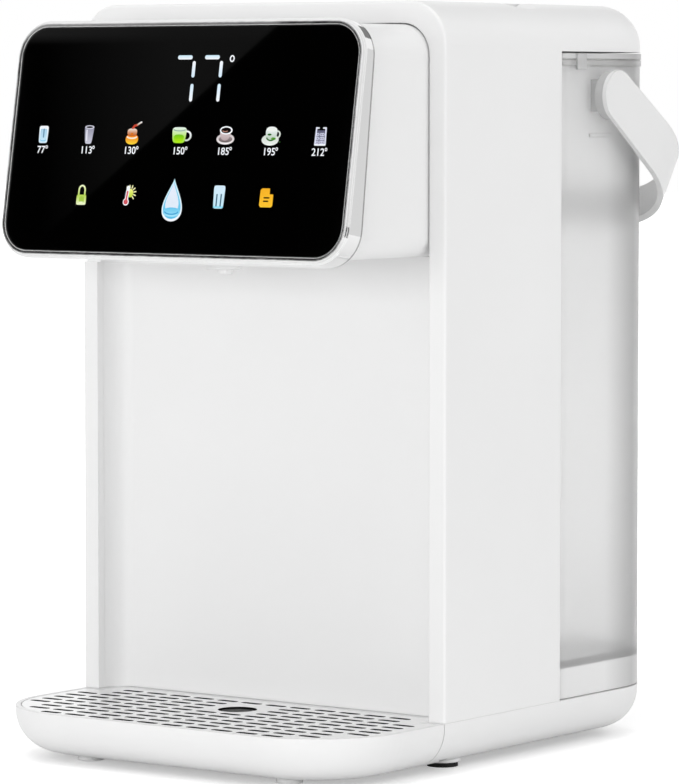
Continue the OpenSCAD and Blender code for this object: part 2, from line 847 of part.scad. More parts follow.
module heater_tube() {
    tube_t = 2;
    color("silver") translate([0, works_y, heater_z + cap_h]) difference() {
        cylinder(h = heater_l, d = heater_d);
        translate([0, 0, -over]) cylinder(h = heater_l + 2 * over, d = heater_d - 2 * tube_t);
    }
}

module heater_caps() {
    cap_edge = 2;
    color("dimgray") translate([0, works_y, 0]) difference() {
        for (z = [heater_z, heater_z + cap_h + heater_l])
            translate([0, 0, z]) {
                cylinder(h = cap_h, d = heater_d + 2 * cap_edge);
                translate([0, 0, z == heater_z ? -barb_l : 0]) cylinder(h = cap_h + barb_l, d = barb_d);
            }
        cylinder(h = far, d = flow_d);
    }
}

module heater_bracket() {
    z0 = heater_z + cap_h + heater_l / 2;
    clamp_h = 14;
    clamp_t = 3;
    arm_half = 8;
    flange_half = 18;
    flange_t = 2;
    color("silver") difference() {
        union() {
            translate([0, works_y, z0]) cylinder(h = clamp_h, d = heater_d + 2 * clamp_t);
            block([-arm_half, works_y, z0], [arm_half, wall_y, z0 + clamp_h]);
            block([-flange_half, wall_y - flange_t, z0], [flange_half, wall_y, z0 + clamp_h]);
        }
        translate([0, works_y, z0 - over]) cylinder(h = clamp_h + 2 * over, d = heater_d + fit);
    }
}

module thermal_cutout() {
    disc_d = 12;
    disc_h = 6;
    color("gainsboro") translate([heater_d / 2 - disc_d / 2, works_y, heater_top])
        cylinder(h = disc_h, d = disc_d);
}

// Plan of the drip tray with its tongue, offset inwards
module tray_plan(inset) {
    joint_y = front_y - tray_gap - inset;
    w = body_w - 2 * inset;
    r = tray_r - inset;
    intersection() {
        double_arch_2d(w, tray_front + inset, rear_y - inset, r, r);
        translate([-body_w, tray_front]) square([2 * body_w, joint_y - tray_front]);
    }
    arch_2d(2 * (tongue_half - inset), joint_y - tray_r / 2, tongue_y - inset, tongue_r - inset);
}

module drip_tray() {
    inner = tray_wall + tray_ledge;
    joint_y = front_y - tray_gap;
    runner_x = 52;
    runner_in = 25;
    runner_d = 11;
    runner_gap = 0.4;
    color("white") difference() {
        union() {
            intersection() {
                bowl(0, tray_r);
                block([-body_w, tray_front - over, 0], [body_w, joint_y, base_top]);
            }
            intersection() {
                bowl(0, tray_r);
                linear_extrude(base_top) arch_2d(2 * tongue_half, joint_y - over, tongue_y, tongue_r);
            }
            both_sides() translate([runner_x, tray_front + runner_in, runner_gap])
                cylinder(h = base_gap, d = runner_d);
        }
        translate([0, 0, pocket_z]) linear_extrude(base_top) tray_plan(tray_wall);
        intersection() {
            bowl(inner, tray_r);
            block([-body_w, tray_front, 0], [body_w, joint_y - inner, base_top + over]);
        }
        block([-tongue_half + inner, joint_y - inner - tray_r / 2, base_gap + inner],
            [tongue_half - inner, tongue_y - inner, base_top + over]);
    }
}

// Half width of the grate at the place y
function grate_half(y) =
    let (bend_y = tray_front + tray_r, rise = max(0, bend_y - y))
    y > front_y - tray_gap - grate_edge - slot_w ? tongue_half
        : body_w / 2 - tray_r + sqrt(max(0, tray_r * tray_r - rise * rise));

module slot_2d() {
    square([slot_l - slot_w, slot_w], center = true);
    for (x = [-1, 1])
        translate([x * (slot_l - slot_w) / 2, 0]) circle(d = slot_w);
}

module drip_grate() {
    land = 3;
    margin = grate_edge + land;
    y0 = tray_front + margin + land;
    rows = floor((tongue_y - margin - y0) / row_pitch);
    hole_y = back(-grate_hole_out);
    clear = (grate_hole_d + slot_w) / 2 + over;
    color("lightgray") translate([0, 0, pocket_z + rest_gap]) linear_extrude(grate_t) difference() {
        tray_plan(grate_edge);
        translate([0, hole_y]) circle(d = grate_hole_d);
        for (row = [0:rows]) {
            y = y0 + row * row_pitch;
            half = grate_half(y) - margin - slot_l / 2;
            count = floor(half / slot_pitch);
            for (step = [-count - 0.5:0.5:count + 0.5]) {
                x = step * slot_pitch;
                staggered = (2 * step + row) % 2 == 0;
                by_hole = abs(y - hole_y) < clear && abs(x) < clear + slot_l / 2;
                if (staggered && abs(x) <= half && !by_hole) translate([x, y]) slot_2d();
            }
        }
    }
}

// Plan of the tank, offset inwards
module tank_plan(inset) {
    double_arch_2d(2 * (tank_half - inset), tank_front + inset, tank_rear - inset,
        tank_front_r - inset, tank_r - inset);
}

module tank_shell() {
    mark_y = back(mark_back);
    mark_z = tank_floor + mark_rise;
    mark_t = 1.4;
    mark_out = 0.7;
    groove = 0.5;
    sump_x0 = pump_x - sump_w / 2;
    sump_x1 = pump_x + sump_w / 2;
    sump_y = tank_front + sump_l;
    color("gainsboro") difference() {
        union() {
            translate([0, 0, tank_z]) linear_extrude(tank_top - tank_z) tank_plan(0);
            translate([0, 0, tank_top - groove - flange_h]) linear_extrude(flange_h) tank_plan(-flange_out);
            both_sides() block([tank_half - over, mark_y, mark_z],
                [tank_half + mark_out, mark_y + mark_l, mark_z + mark_t]);
        }
        translate([0, 0, tank_floor]) linear_extrude(tank_top) tank_plan(tank_wall);
        difference() {
            translate([0, 0, tank_z - over]) linear_extrude(tank_floor - floor_t - tank_z + over)
                tank_plan(tank_wall);
            block([sump_x0, tank_front, sump_z - floor_t], [sump_x1, sump_y, tank_floor]);
        }
        block([sump_x0 + tank_wall, tank_front + tank_wall, sump_z],
            [sump_x1 - tank_wall, sump_y - tank_wall, tank_floor + over]);
        outlet_rod(tank_front - over, tank_front + tank_wall + over, valve_d + fit);
    }
}

module tank_lid() {
    plug = tank_wall + gasket_t;
    plug_t = 2;
    plug_h = 4;
    catch_w = 7;
    catch_h = 4.5;
    catch_y = back(catch_back) - catch_w / 2;
    catch_x = tank_half + flange_out;
    catch_t = 0.6;
    color("gainsboro") difference() {
        union() {
            translate([0, 0, tank_top]) linear_extrude(tank_lid_t) tank_plan(-flange_out);
            translate([0, 0, tank_top - plug_h]) linear_extrude(plug_h + over) difference() {
                tank_plan(plug);
                tank_plan(plug + plug_t);
            }
            both_sides() {
                translate([catch_x, catch_y, tank_top - catch_h])
                    cube([catch_t, catch_w, catch_h + tank_lid_t]);
                translate([tank_half, catch_y, tank_top]) cube([flange_out + catch_t, catch_w, tank_lid_t]);
            }
        }
        translate([0, mouth_y, tank_top - over]) linear_extrude(tank_lid_t + 2 * over)
            slab_2d(mouth_w, mouth_l, mouth_r);
    }
}

module lid_gasket() {
    color("dimgray") translate([0, 0, tank_top - gasket_h]) linear_extrude(gasket_h) difference() {
        tank_plan(tank_wall + run_gap);
        tank_plan(tank_wall + gasket_t);
    }
}

module handle_lugs() {
    half = lug_w / 2;
    color("lightgray") both_sides() {
        block([tank_half, pivot_y - half, pivot_z - half], [lug_x, pivot_y + half, pivot_z + half]);
        rod_x(lug_x - over, axle_x, pivot_y, pivot_z, axle_d);
    }
}

// The bail is a strap bent round the tank, thin and wide at its arms, thick and narrow at the bar;
// it is modelled level and then let down to its stop
module carry_handle() {
    axle_gap = 0.3;
    hub_d = strap_end_w - 1;
    half = strap_w / 2;
    end_half = strap_end_w / 2;
    taper_l = arm_len - bail_r;
    color("gainsboro") translate([0, pivot_y, pivot_z]) rotate([-droop, 0, 0]) difference() {
        union() {
            intersection() {
                translate([0, 0, -half]) linear_extrude(strap_w) difference() {
                    arch_2d(2 * strap_out, -half, arm_len, bail_r);
                    arch_2d(2 * strap_in, -half - over, arm_len - bar_t, bail_r - bar_t);
                }
                translate([-body_w, 0, 0]) rotate([90, 0, 90]) linear_extrude(2 * body_w) {
                    circle(end_half);
                    polygon([[0, -end_half], [taper_l, -half], [arm_len + over, -half],
                        [arm_len + over, half - bar_drop * (1 + over / bar_fall)],
                        [arm_len - bar_fall, half], [taper_l, half], [0, end_half]]);
                }
            }
            both_sides() rod_x(hub_x, strap_in + over, 0, 0, hub_d);
        }
        both_sides() rod_x(hub_x - over, axle_x + axle_gap, 0, 0, axle_d + 2 * run_gap);
    }
}

module outlet_valve() {
    spigot_end = seam_y - 8.5;
    nose_d = 11;
    seat_d = 6.5;
    chamber_d = 9.4;
    cap_t = 2;
    port_h = 4.4;
    port_l = 9;
    color("whitesmoke") difference() {
        union() {
            outlet_rod(spigot_end, tank_front, spigot_d);
            outlet_rod(tank_front - over, chamber_y + cap_t, valve_d);
        }
        outlet_rod(spigot_end - over, seat_y - cap_t, nose_d);
        outlet_rod(seat_y - cap_t - over, seat_y + over, seat_d);
        outlet_rod(seat_y, chamber_y, chamber_d);
        outlet_rod(tank_front, chamber_y + cap_t + over, stem_d + 2 * fit);
        block([pump_x - valve_d, seat_y + cap_t, outlet_z - port_h / 2],
            [pump_x + valve_d, seat_y + cap_t + port_l, outlet_z + port_h / 2]);
    }
}

// Drawn lifted off its seat, as the socket's pin holds it
module valve_poppet() {
    tail_y = chamber_y + 4;
    color("gainsboro") {
        outlet_rod(stem_y, poppet_y + over, stem_d);
        outlet_rod(poppet_y, poppet_y + poppet_t, poppet_d);
        outlet_rod(poppet_y + over, tail_y, stem_d);
    }
}

module poppet_seal() {
    color("dimgray") difference() {
        outlet_rod(poppet_y - poppet_seal_t, poppet_y, poppet_d);
        outlet_rod(poppet_y - poppet_seal_t - over, poppet_y + over, stem_d);
    }
}

// One coil of wire, swept ring by ring along its axis
module valve_spring() {
    wire_d = 0.8;
    coil_r = 3.6;
    turns = 5;
    rings = 14 * turns;
    sides = 6;
    y0 = poppet_y + poppet_t + wire_d / 2;
    y1 = chamber_y - wire_d / 2;
    points = [for (i = [0:rings], k = [0:sides - 1])
        let (turn = 360 * turns * i / rings, r = coil_r + wire_d / 2 * cos(360 * k / sides))
        [r * cos(turn), y0 + (y1 - y0) * i / rings + wire_d / 2 * sin(360 * k / sides), r * sin(turn)]];
    walls = [for (i = [0:rings - 1], k = [0:sides - 1])
        let (a = i * sides + k, b = i * sides + (k + 1) % sides)
        each [[a, b + sides, b], [a, a + sides, b + sides]]];
    last = rings * sides;
    ends = [for (k = [1:sides - 2]) each [[0, k, k + 1], [last, last + k + 1, last + k]]];
    color("silver") translate([pump_x, 0, outlet_z]) polyhedron(points, concat(walls, ends));
}

outer_shell();
splash_panel();
head_cover();
bezel();
touch_glass();
control_board();
spout_nozzle();
base_pan();
rubber_feet();
base_screws();
cord_gland();
tank_seat();
bay_wall();
tank_socket();
socket_seal();
inlet_hose();
feed_hose();
outlet_hose();
pump_motor();
pump_head();
pump_impeller();
pump_bracket();
heater_tube();
heater_caps();
heater_bracket();
thermal_cutout();
power_board();
refill_lid();
lid_hinge_pin();
drip_tray();
drip_grate();
tank_shell();
tank_lid();
lid_gasket();
handle_lugs();
outlet_valve();
valve_poppet();
poppet_seal();
valve_spring();
carry_handle();
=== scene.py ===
"""Looks of a countertop hot water dispenser: finishes of every CAD node, lit display, grate plate and studio."""
import json
import math

import bmesh
import bpy
import numpy as np
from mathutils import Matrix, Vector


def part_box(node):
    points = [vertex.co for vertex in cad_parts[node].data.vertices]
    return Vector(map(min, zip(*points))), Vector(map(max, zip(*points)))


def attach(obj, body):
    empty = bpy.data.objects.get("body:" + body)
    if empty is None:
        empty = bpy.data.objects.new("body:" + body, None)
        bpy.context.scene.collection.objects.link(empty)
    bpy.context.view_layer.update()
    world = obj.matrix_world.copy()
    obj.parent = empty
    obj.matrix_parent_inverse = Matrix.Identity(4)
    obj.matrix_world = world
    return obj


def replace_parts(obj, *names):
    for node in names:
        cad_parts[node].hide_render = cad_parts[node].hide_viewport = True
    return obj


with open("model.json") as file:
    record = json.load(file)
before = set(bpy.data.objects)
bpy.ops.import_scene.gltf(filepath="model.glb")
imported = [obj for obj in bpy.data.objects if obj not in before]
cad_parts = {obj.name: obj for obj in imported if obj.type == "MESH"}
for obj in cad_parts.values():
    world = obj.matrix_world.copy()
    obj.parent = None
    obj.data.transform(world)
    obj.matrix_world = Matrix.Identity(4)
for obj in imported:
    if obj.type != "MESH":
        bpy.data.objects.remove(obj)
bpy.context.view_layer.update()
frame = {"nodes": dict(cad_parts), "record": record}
MM = 0.001
DOUBLE = 2e-7
SLIVER = 1e-8

# The leaning panel: its directions, and the middle of the glass's front
TILT = math.radians(9.5)
GLASS_T = 0.003
ACROSS = np.array([1.0, 0.0, 0.0])
UPWARD = np.array([0.0, math.sin(TILT), math.cos(TILT)])
OUTWARD = np.array([0.0, -math.cos(TILT), math.sin(TILT)])
glass_low, glass_high = (np.array(corner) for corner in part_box("touch_glass"))
PANEL_MIDDLE = (glass_low + glass_high) / 2 + OUTWARD * GLASS_T / 2


# Shader arithmetic

class Wire:
    """A shader socket in an expression: every operator adds one Math node to the same tree."""

    def __init__(self, tree, socket):
        self.tree = tree
        self.socket = socket

    def reckon(self, operation, first, second):
        node = self.tree.nodes.new("ShaderNodeMath")
        node.operation = operation
        plug(self.tree, node.inputs[0], first)
        plug(self.tree, node.inputs[1], second)
        return Wire(self.tree, node.outputs[0])

    def __add__(self, other):
        return self.reckon("ADD", self, other)

    def __radd__(self, other):
        return self.reckon("ADD", other, self)

    def __sub__(self, other):
        return self.reckon("SUBTRACT", self, other)

    def __rsub__(self, other):
        return self.reckon("SUBTRACT", other, self)

    def __mul__(self, other):
        return self.reckon("MULTIPLY", self, other)

    def __rmul__(self, other):
        return self.reckon("MULTIPLY", other, self)

    def most(self, other):
        return self.reckon("MAXIMUM", self, other)


def plug(tree, slot, value):
    """Joins a wire to a socket, or writes a plain value on it."""
    if isinstance(value, Wire):
        tree.links.new(value.socket, slot)
    else:
        slot.default_value = value


def grey(level):
    """A neutral colour of one linear level."""
    return (level, level, level, 1.0)


class Finish:
    """A material of one Principled shader: constants sit on its sockets, feed() joins what varies."""

    def __init__(self, name, constants):
        self.material = bpy.data.materials.new(name)
        self.material.use_nodes = True
        self.tree = self.material.node_tree
        self.tree.nodes.clear()
        self.shader = self.tree.nodes.new("ShaderNodeBsdfPrincipled")
        self.output = self.tree.nodes.new("ShaderNodeOutputMaterial")
        self.tree.links.new(self.shader.outputs[0], self.output.inputs["Surface"])
        for key, value in constants.items():
            self.shader.inputs[key].default_value = value
        self.place = self.node("TexCoord", out="Object")

    def node(self, kind, settings=None, inputs=None, out=0):
        """Adds a node: its settings first (a ramp's stops among them), then its sockets; gives one output."""
        node = self.tree.nodes.new("ShaderNode" + kind)
        for key, value in (settings or {}).items():
            if key == "stops":
                ramp = node.color_ramp.elements
                while len(ramp) < len(value):
                    ramp.new(0.5)
                for element, (spot, level) in zip(ramp, value):
                    element.position = spot
                    element.color = grey(level)
            else:
                setattr(node, key, value)
        for key, value in (inputs or {}).items():
            plug(self.tree, node.inputs[key], value)
        return Wire(self.tree, node.outputs[out])

    def feed(self, socket, value):
        plug(self.tree, self.shader.inputs[socket], value)

    def stretched(self, x, y, z):
        """Object coordinates multiplied along each axis, for grain that runs one way."""
        return self.node("Mapping", None, {"Vector": self.place, "Scale": (x, y, z)})

    def axis(self, letter):
        """One object coordinate."""
        return self.node("SeparateXYZ", None, {"Vector": self.place}, out=letter)

    def along(self, direction):
        """The object coordinate along a direction."""
        return self.node("VectorMath", {"operation": "DOT_PRODUCT"}, {0: self.place, 1: direction}, out="Value")

    def between(self, value, start, end, first=0.0, last=1.0):
        """From first to last as a value goes from its start to its end, held beyond them."""
        return self.node("MapRange", None, {"Value": value, "From Min": start, "From Max": end,
                                            "To Min": first, "To Max": last})

    def noise(self, scale, detail=2.0, vector=None):
        return self.node("TexNoise", None, {"Vector": vector or self.place, "Scale": scale, "Detail": detail})

    def tint(self, low, high, amount):
        """A colour between two, by a wire from 0 to 1."""
        return self.node("Mix", {"data_type": "RGBA"}, {0: amount, 6: low, 7: high}, out=2)

    def bump(self, height, depth, rounding=0.0):
        """Normal from a height field that is depth metres tall, over edges rounded by a small radius."""
        inputs = {"Strength": 1.0, "Distance": depth, "Height": height}
        if rounding:
            inputs["Normal"] = self.node("Bevel", {"samples": 4}, {"Radius": rounding})
        self.feed("Normal", self.node("Bump", None, inputs))


# Finishes, in metres

SOFT_EDGE = 0.0005
FINE_GRAIN = 1500.0
SEAT_TILT = math.radians(6.8)
FRAME_DEPTH = 0.008
# Painted shadow line on the chrome frame: full up to the first distance ahead of its seat, gone by the second
SEAT_SHADOW = (0.0007, 0.0011)
# Painted shade in the grate's slots: full at the first depth below the top face, gone at the second
SLOT_SHADE_DEPTHS = (0.00008, 0.00003)
STRAP_EDGE = 0.0018
HUB_REACH = 0.018
HUB_FADE = (0.0002, 0.004)
HUB_GREY = 0.54
# Painted shadow along the seam with the housing: the width of the tank's darkened front strip, then its tone
TANK_WALL = 0.0025
FRONT_WALL_SHADE = 0.6
# Painted shade on the rear corners: tone at depths before the tank's rear
REAR_CORNER_SHADE = ((0.05, 1.0), (0.028, 0.66), (0.0136, 0.88), (0.0, 1.0))
SKIRT_H = 0.0124
SKIRT_FADE = 0.0008
# Painted light in the skirt: the share of opaque milky white mixed in below the skirt's top
SKIRT_PAINTED_LIGHT = 0.9
CATCH_AHEAD = 0.015
CATCH_HALF = 0.0045
# Painted shade: tone of the lid about its catch
CATCH_SHADE = 0.84
CATCH_FADE = 0.0003


def moulded(name, low, high, rough, grain, depth, rounding, constants=None, hub=None):
    """Moulded plastic or rubber: slow drift of tone and gloss, fine tool grain, soft edges; greyer at a hub."""
    finish = Finish(name, constants or {})
    drift = finish.noise(14.0, 3.0)
    fine = finish.noise(grain, 2.0)
    colour = finish.tint(low, high, drift)
    finish.feed("Base Color", finish.tint(grey(HUB_GREY), colour, off_hub(finish, *hub)) if hub else colour)
    finish.feed("Roughness", rough - 0.05 + 0.1 * drift + 0.04 * fine)
    finish.bump(fine, depth, rounding)
    return finish.material


def off_hub(finish, inner, rear):
    """0 on the hubs, which lie inwards of the strap and before its bend, and 1 elsewhere."""
    sideways = finish.axis("X")
    outside = finish.between(sideways * sideways, (inner - HUB_FADE[0]) ** 2, inner ** 2)
    return outside.most(finish.between(finish.axis("Y"), rear - HUB_FADE[1], rear))


def polished_chrome():
    """Plated plastic: almost mirror, with a faint orange peel, and a painted shadow line along its seat on the
    head.
    """
    finish = Finish("polished_chrome", {"Metallic": 1.0})
    peel = finish.noise(260.0, 1.0)
    forward = np.array([0.0, -math.cos(SEAT_TILT), math.sin(SEAT_TILT)])
    seat = float(PANEL_MIDDLE @ forward) - FRAME_DEPTH
    # Painted shadow: the base colour turns darker grey near the seat, where the frame meets the head
    clear = finish.between(finish.along(forward), seat + SEAT_SHADOW[0], seat + SEAT_SHADOW[1])
    plating = finish.tint(grey(0.84), grey(0.88), finish.noise(30.0))
    finish.feed("Base Color", finish.tint(grey(0.42), plating, clear))
    finish.feed("Roughness", 0.01 + 0.02 * finish.noise(90.0, 3.0))
    finish.bump(peel, 0.0000008, 0.0006)
    return finish.material


def back_printed_glass():
    """Black-backed glass: deep black, wiped gloss with faint smears."""
    finish = Finish("back_printed_glass", {"IOR": 1.5, "Specular IOR Level": 0.4})
    smear = finish.noise(5.0, 4.0, finish.stretched(9.0, 3.0, 4.0))
    finish.feed("Base Color", finish.tint(grey(0.0002), grey(0.0004), smear))
    finish.feed("Roughness", 0.01 + 0.025 * smear)
    finish.bump(finish.noise(40.0, 1.0), 0.000002, 0.0004)
    return finish.material


def brushed_steel(name, level, along, rough):
    """Brushed steel: streaks stretched along one axis in tone, gloss and height."""
    finish = Finish(name, {"Metallic": 1.0})
    streak = finish.noise(60.0, 3.0, finish.stretched(*along))
    finish.feed("Base Color", finish.tint(grey(level - 0.07), grey(level + 0.05), streak))
    finish.feed("Roughness", rough - 0.08 + 0.2 * streak)
    finish.bump(streak, 0.00001, 0.0002)
    return finish.material


def slotted_steel(top):
    """Grate plate: bright brushed upper face; the walls in the slots below it carry painted shade, near black and
    not metal.
    """
    finish = Finish("grate_steel", {"Specular IOR Level": 0.1})
    streak = finish.noise(60.0, 3.0, finish.stretched(0.04, 5.0, 1.0))
    # Painted shade: below the top face the slot walls turn near black
    face = finish.between(finish.axis("Z"), top - SLOT_SHADE_DEPTHS[0], top - SLOT_SHADE_DEPTHS[1])
    finish.feed("Base Color", finish.tint(grey(0.004), finish.tint(grey(0.9), grey(0.98), streak), face))
    finish.feed("Metallic", face)
    finish.feed("Roughness", 0.28 + 0.2 * streak)
    finish.bump(streak, 0.00001)
    return finish.material


def frosted(name, clear, low, high, catch=None, skirt=None):
    """Frosted clear plastic: painted shade makes it greyer at its front wall by the seam, its rear corners and
    about its catch; milky in the skirt below, painted light that stands in for the lit seat seen through it.
    """
    finish = Finish(name, {"Transmission Weight": clear, "IOR": 1.3})
    depth = finish.axis("Y")
    # Painted shadow in the front strip by the seam, painted shade on the rear corners
    spots = [(low, FRONT_WALL_SHADE), (low + TANK_WALL, FRONT_WALL_SHADE), (low + 1.4 * TANK_WALL, 1.0)]
    spots += [(high - inset, level) for inset, level in REAR_CORNER_SHADE]
    stops = [((spot - low) / (high - low), level) for spot, level in spots]
    depth_shade = finish.node("ValToRGB", {"stops": stops}, {"Fac": finish.between(depth, low, high)})
    drift = finish.noise(12.0, 3.0)
    fine = finish.noise(1300.0, 2.0)
    tone = 0.94 + 0.04 * drift
    # Painted shade darkens the lid about its catch
    if catch:
        aside = depth - catch
        tone = tone * finish.between(aside * aside, CATCH_HALF ** 2, (CATCH_HALF + CATCH_FADE) ** 2, CATCH_SHADE)
    finish.feed("Base Color", finish.tint(grey(0.0), depth_shade, tone))
    finish.feed("Roughness", 0.26 + 0.06 * drift)
    finish.bump(fine, 0.000006, 0.0009)
    if skirt:
        # Painted light: below its top the skirt turns opaque milky white, standing in for the lit seat seen through
        # it; it carries the painted depth shade too
        below = finish.between(finish.axis("Z"), skirt, skirt + SKIRT_FADE, SKIRT_PAINTED_LIGHT, 0.0)
        milk_tone = finish.tint(grey(0.0), depth_shade, 0.8 + 0.04 * drift)
        milk = finish.node("BsdfPrincipled", None, {"Base Color": milk_tone, "Roughness": 0.4})
        frost = Wire(finish.tree, finish.shader.outputs[0])
        mixed = finish.node("MixShader", None, {0: below, 1: frost, 2: milk})
        plug(finish.tree, finish.output.inputs["Surface"], mixed)
    return finish.material


def solder_mask():
    """Circuit board: green mask, lighter copper runs under it on a grid, bright pads."""
    finish = Finish("solder_mask", {})
    runs = finish.node("TexBrick", {"offset": 0.37, "squash": 0.6, "squash_frequency": 3},
                       {"Vector": finish.place, "Scale": 90.0, "Mortar Size": 0.03,
                        "Color1": grey(0.0), "Color2": grey(0.0), "Mortar": grey(1.0)}, out="Color")
    cells = finish.node("TexVoronoi", {"feature": "F1"}, {"Vector": finish.place, "Scale": 260.0},
                        out="Distance")
    pads = finish.node("ValToRGB", {"stops": [(0.16, 1.0), (0.2, 0.0)]}, {"Fac": cells})
    run_level = finish.node("RGBToBW", None, {"Color": runs})
    pad_level = finish.node("RGBToBW", None, {"Color": pads})
    mask = finish.tint((0.006, 0.07, 0.028, 1.0), (0.02, 0.16, 0.06, 1.0), run_level)
    finish.feed("Base Color", finish.tint(mask, (0.62, 0.6, 0.55, 1.0), pad_level))
    finish.feed("Metallic", 0.9 * pad_level)
    finish.feed("Roughness", 0.42 - 0.14 * pad_level)
    finish.bump(run_level.most(pad_level), 0.00005)
    return finish.material


def lit_print():
    """Lit picture on the glass: the colour that the mesh carries, glowing at the plain level."""
    finish = Finish("lit_print", {"Base Color": grey(0.0), "Roughness": 0.5, "Emission Strength": 1.0,
                                  "Specular IOR Level": 0.0})
    carried = finish.node("Attribute", {"attribute_name": "glow"}, out="Color")
    shimmer = finish.noise(500.0)
    finish.feed("Emission Color", finish.tint(grey(0.0), carried, 0.94 + 0.1 * shimmer))
    return finish.material


tank_span = [corner[1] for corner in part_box("tank_shell")]
skirt_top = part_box("tank_shell")[0][2] + SKIRT_H
lug_y = sum(corner[1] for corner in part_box("handle_lugs")) / 2
strap_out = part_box("carry_handle")[1][0]
finishes = {
    "white_plastic": moulded("satin_white", grey(0.80), grey(0.83), 0.36, FINE_GRAIN, 0.000004, SOFT_EDGE),
    "chrome": polished_chrome(),
    "black_glass": back_printed_glass(),
    "circuit_board": solder_mask(),
    "grey_plastic": moulded("outlet_grey", grey(0.78), grey(0.81), 0.45, FINE_GRAIN, 0.000005, SOFT_EDGE),
    "dark_plastic": moulded("works_black", grey(0.016), grey(0.024), 0.5, 900.0, 0.00001, SOFT_EDGE),
    "rubber": moulded("foot_rubber", grey(0.004), grey(0.007), 0.72, 1100.0, 0.00002, SOFT_EDGE),
    "silicone": moulded("hose_silicone", (0.66, 0.66, 0.63, 1.0), (0.72, 0.72, 0.70, 1.0), 0.5, 700.0,
                        0.000008, 0.0, {"Subsurface Weight": 0.2, "Subsurface Radius": (0.004, 0.004, 0.004)}),
    "steel": brushed_steel("drawn_steel", 0.6, (1.0, 0.05, 6.0), 0.34),
    "frosted_plastic": frosted("frosted_tank", 0.72, *tank_span, skirt=skirt_top),
    "handle_plastic": moulded("handle_white", grey(0.76), grey(0.79), 0.4, FINE_GRAIN, 0.000005, SOFT_EDGE,
                              hub=(strap_out - STRAP_EDGE, lug_y + HUB_REACH)),
}
slot_of = {row["node"]: row["material_slot"] for row in frame["record"]["subparts"]}
for node_name, node_object in frame["nodes"].items():
    for slot in node_object.material_slots:
        slot.material = finishes[slot_of[node_name]]
special = {"drip_grate": slotted_steel(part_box("drip_grate")[1][2]),
           "tank_lid": frosted("frosted_lid", 0.4, *tank_span, catch=lug_y - CATCH_AHEAD),
           "handle_lugs": moulded("lug_grey", grey(HUB_GREY), grey(0.58), 0.42, FINE_GRAIN, 0.000005, SOFT_EDGE)}
for node_name, material in special.items():
    for slot in frame["nodes"][node_name].material_slots:
        slot.material = material


# Lit display, drawn flat in millimetres on the panel and laid on the glass

LIFT = 0.05
LAYER = 0.04
SUNK = -0.02


def on_panel(flat, height):
    """Points of the panel: flat millimetres (right, up) and a height over the glass become the row frame."""
    flat = np.asarray(flat, float)
    height = np.broadcast_to(np.asarray(height, float), flat.shape[:-1])
    return PANEL_MIDDLE + MM * (flat[..., :1] * ACROSS + flat[..., 1:] * UPWARD + height[..., None] * OUTWARD)


def linear(colour):
    """Display colour, 0 to 1 as seen on a screen, as linear light."""
    colour = np.asarray(colour, float)
    return np.where(colour <= 0.04045, colour / 12.92, ((colour + 0.055) / 1.055) ** 2.4)


def glow_of(colour, flat):
    """Colour of each point: one colour, or one at the bottom running to another at the top."""
    low, high = (colour[0], colour[1]) if np.ndim(colour) == 2 else (colour, colour)
    height = flat[..., 1:]
    span = max(float(np.ptp(height)), 1e-9)
    share = (height - height.min()) / span
    return linear(np.asarray(low) * (1 - share) + np.asarray(high) * share)


def plate(outline, colour, layer=0):
    """Flat plate: rows are its middle, its edge on top, its edge below and the middle below, round the outline."""
    outline = np.asarray(outline, float)
    middle = np.broadcast_to(outline.mean(0), outline.shape)
    flat = np.stack([middle, outline, outline, middle])
    top = LIFT + LAYER * layer
    height = np.array([top, top, SUNK, SUNK])[:, None] * np.ones(len(outline))
    return on_panel(flat, height), glow_of(colour, flat)


def stroke(path, width, colour, layer=0, closed=False):
    """Flat band of one width along a path: a rectangular profile carried along it, its open ends rounded."""
    path = np.asarray(path, float)
    if closed:
        step = np.roll(path, -1, 0) - np.roll(path, 1, 0)
        half = np.full(len(path), width / 2)
    else:
        run = np.r_[0, np.cumsum(np.hypot(*np.diff(path, axis=0).T))]
        first = (path[0] - path[1]) / np.hypot(*(path[0] - path[1]))
        last = (path[-1] - path[-2]) / np.hypot(*(path[-1] - path[-2]))
        path = np.vstack([path[0] + first * width / 2, path, path[-1] + last * width / 2])
        run = np.r_[-width / 2, run, run[-1] + width / 2]
        turn = np.linspace(0, math.pi / 2, 7)
        ends = width / 2 * (1 - np.cos(turn))
        spots = np.unique(np.r_[run[0] + ends, run[1:-1], run[-1] - ends])
        path = np.stack([np.interp(spots, run, path[:, axis]) for axis in (0, 1)], -1)
        short = np.clip(width / 2 - np.minimum(spots - spots[0], spots[-1] - spots), 0, None)
        half = np.sqrt(np.clip((width / 2) ** 2 - short ** 2, 0, None))
        step = np.gradient(path, axis=0)
    side = np.stack([-step[:, 1], step[:, 0]], -1) / np.hypot(*step.T)[:, None] * half[:, None]
    flat = np.stack([path + side, path - side, path - side, path + side], 1)
    top = LIFT + LAYER * layer
    height = np.broadcast_to(np.array([top, top, SUNK, SUNK]), flat.shape[:2])
    points = on_panel(flat, height)
    if closed:
        points = np.concatenate([points, points[:1]])
        flat = np.concatenate([flat, flat[:1]])
    points = np.concatenate([points, points[:, :1]], 1)
    flat = np.concatenate([flat, flat[:, :1]], 1)
    return points, glow_of(colour, flat)


def rounded(middle, size, power=4.0, taper=0.0, count=48):
    """Rounded block outline: a superellipse whose width shrinks towards the foot by the taper."""
    turn = np.linspace(0, 2 * math.pi, count, endpoint=False)
    x = np.sign(np.cos(turn)) * np.abs(np.cos(turn)) ** (2 / power) * size[0] / 2
    y = np.sign(np.sin(turn)) * np.abs(np.sin(turn)) ** (2 / power) * size[1] / 2
    x = x * (1 + taper * (y / size[1] - 0.5))
    return np.stack([x, y], -1) + middle


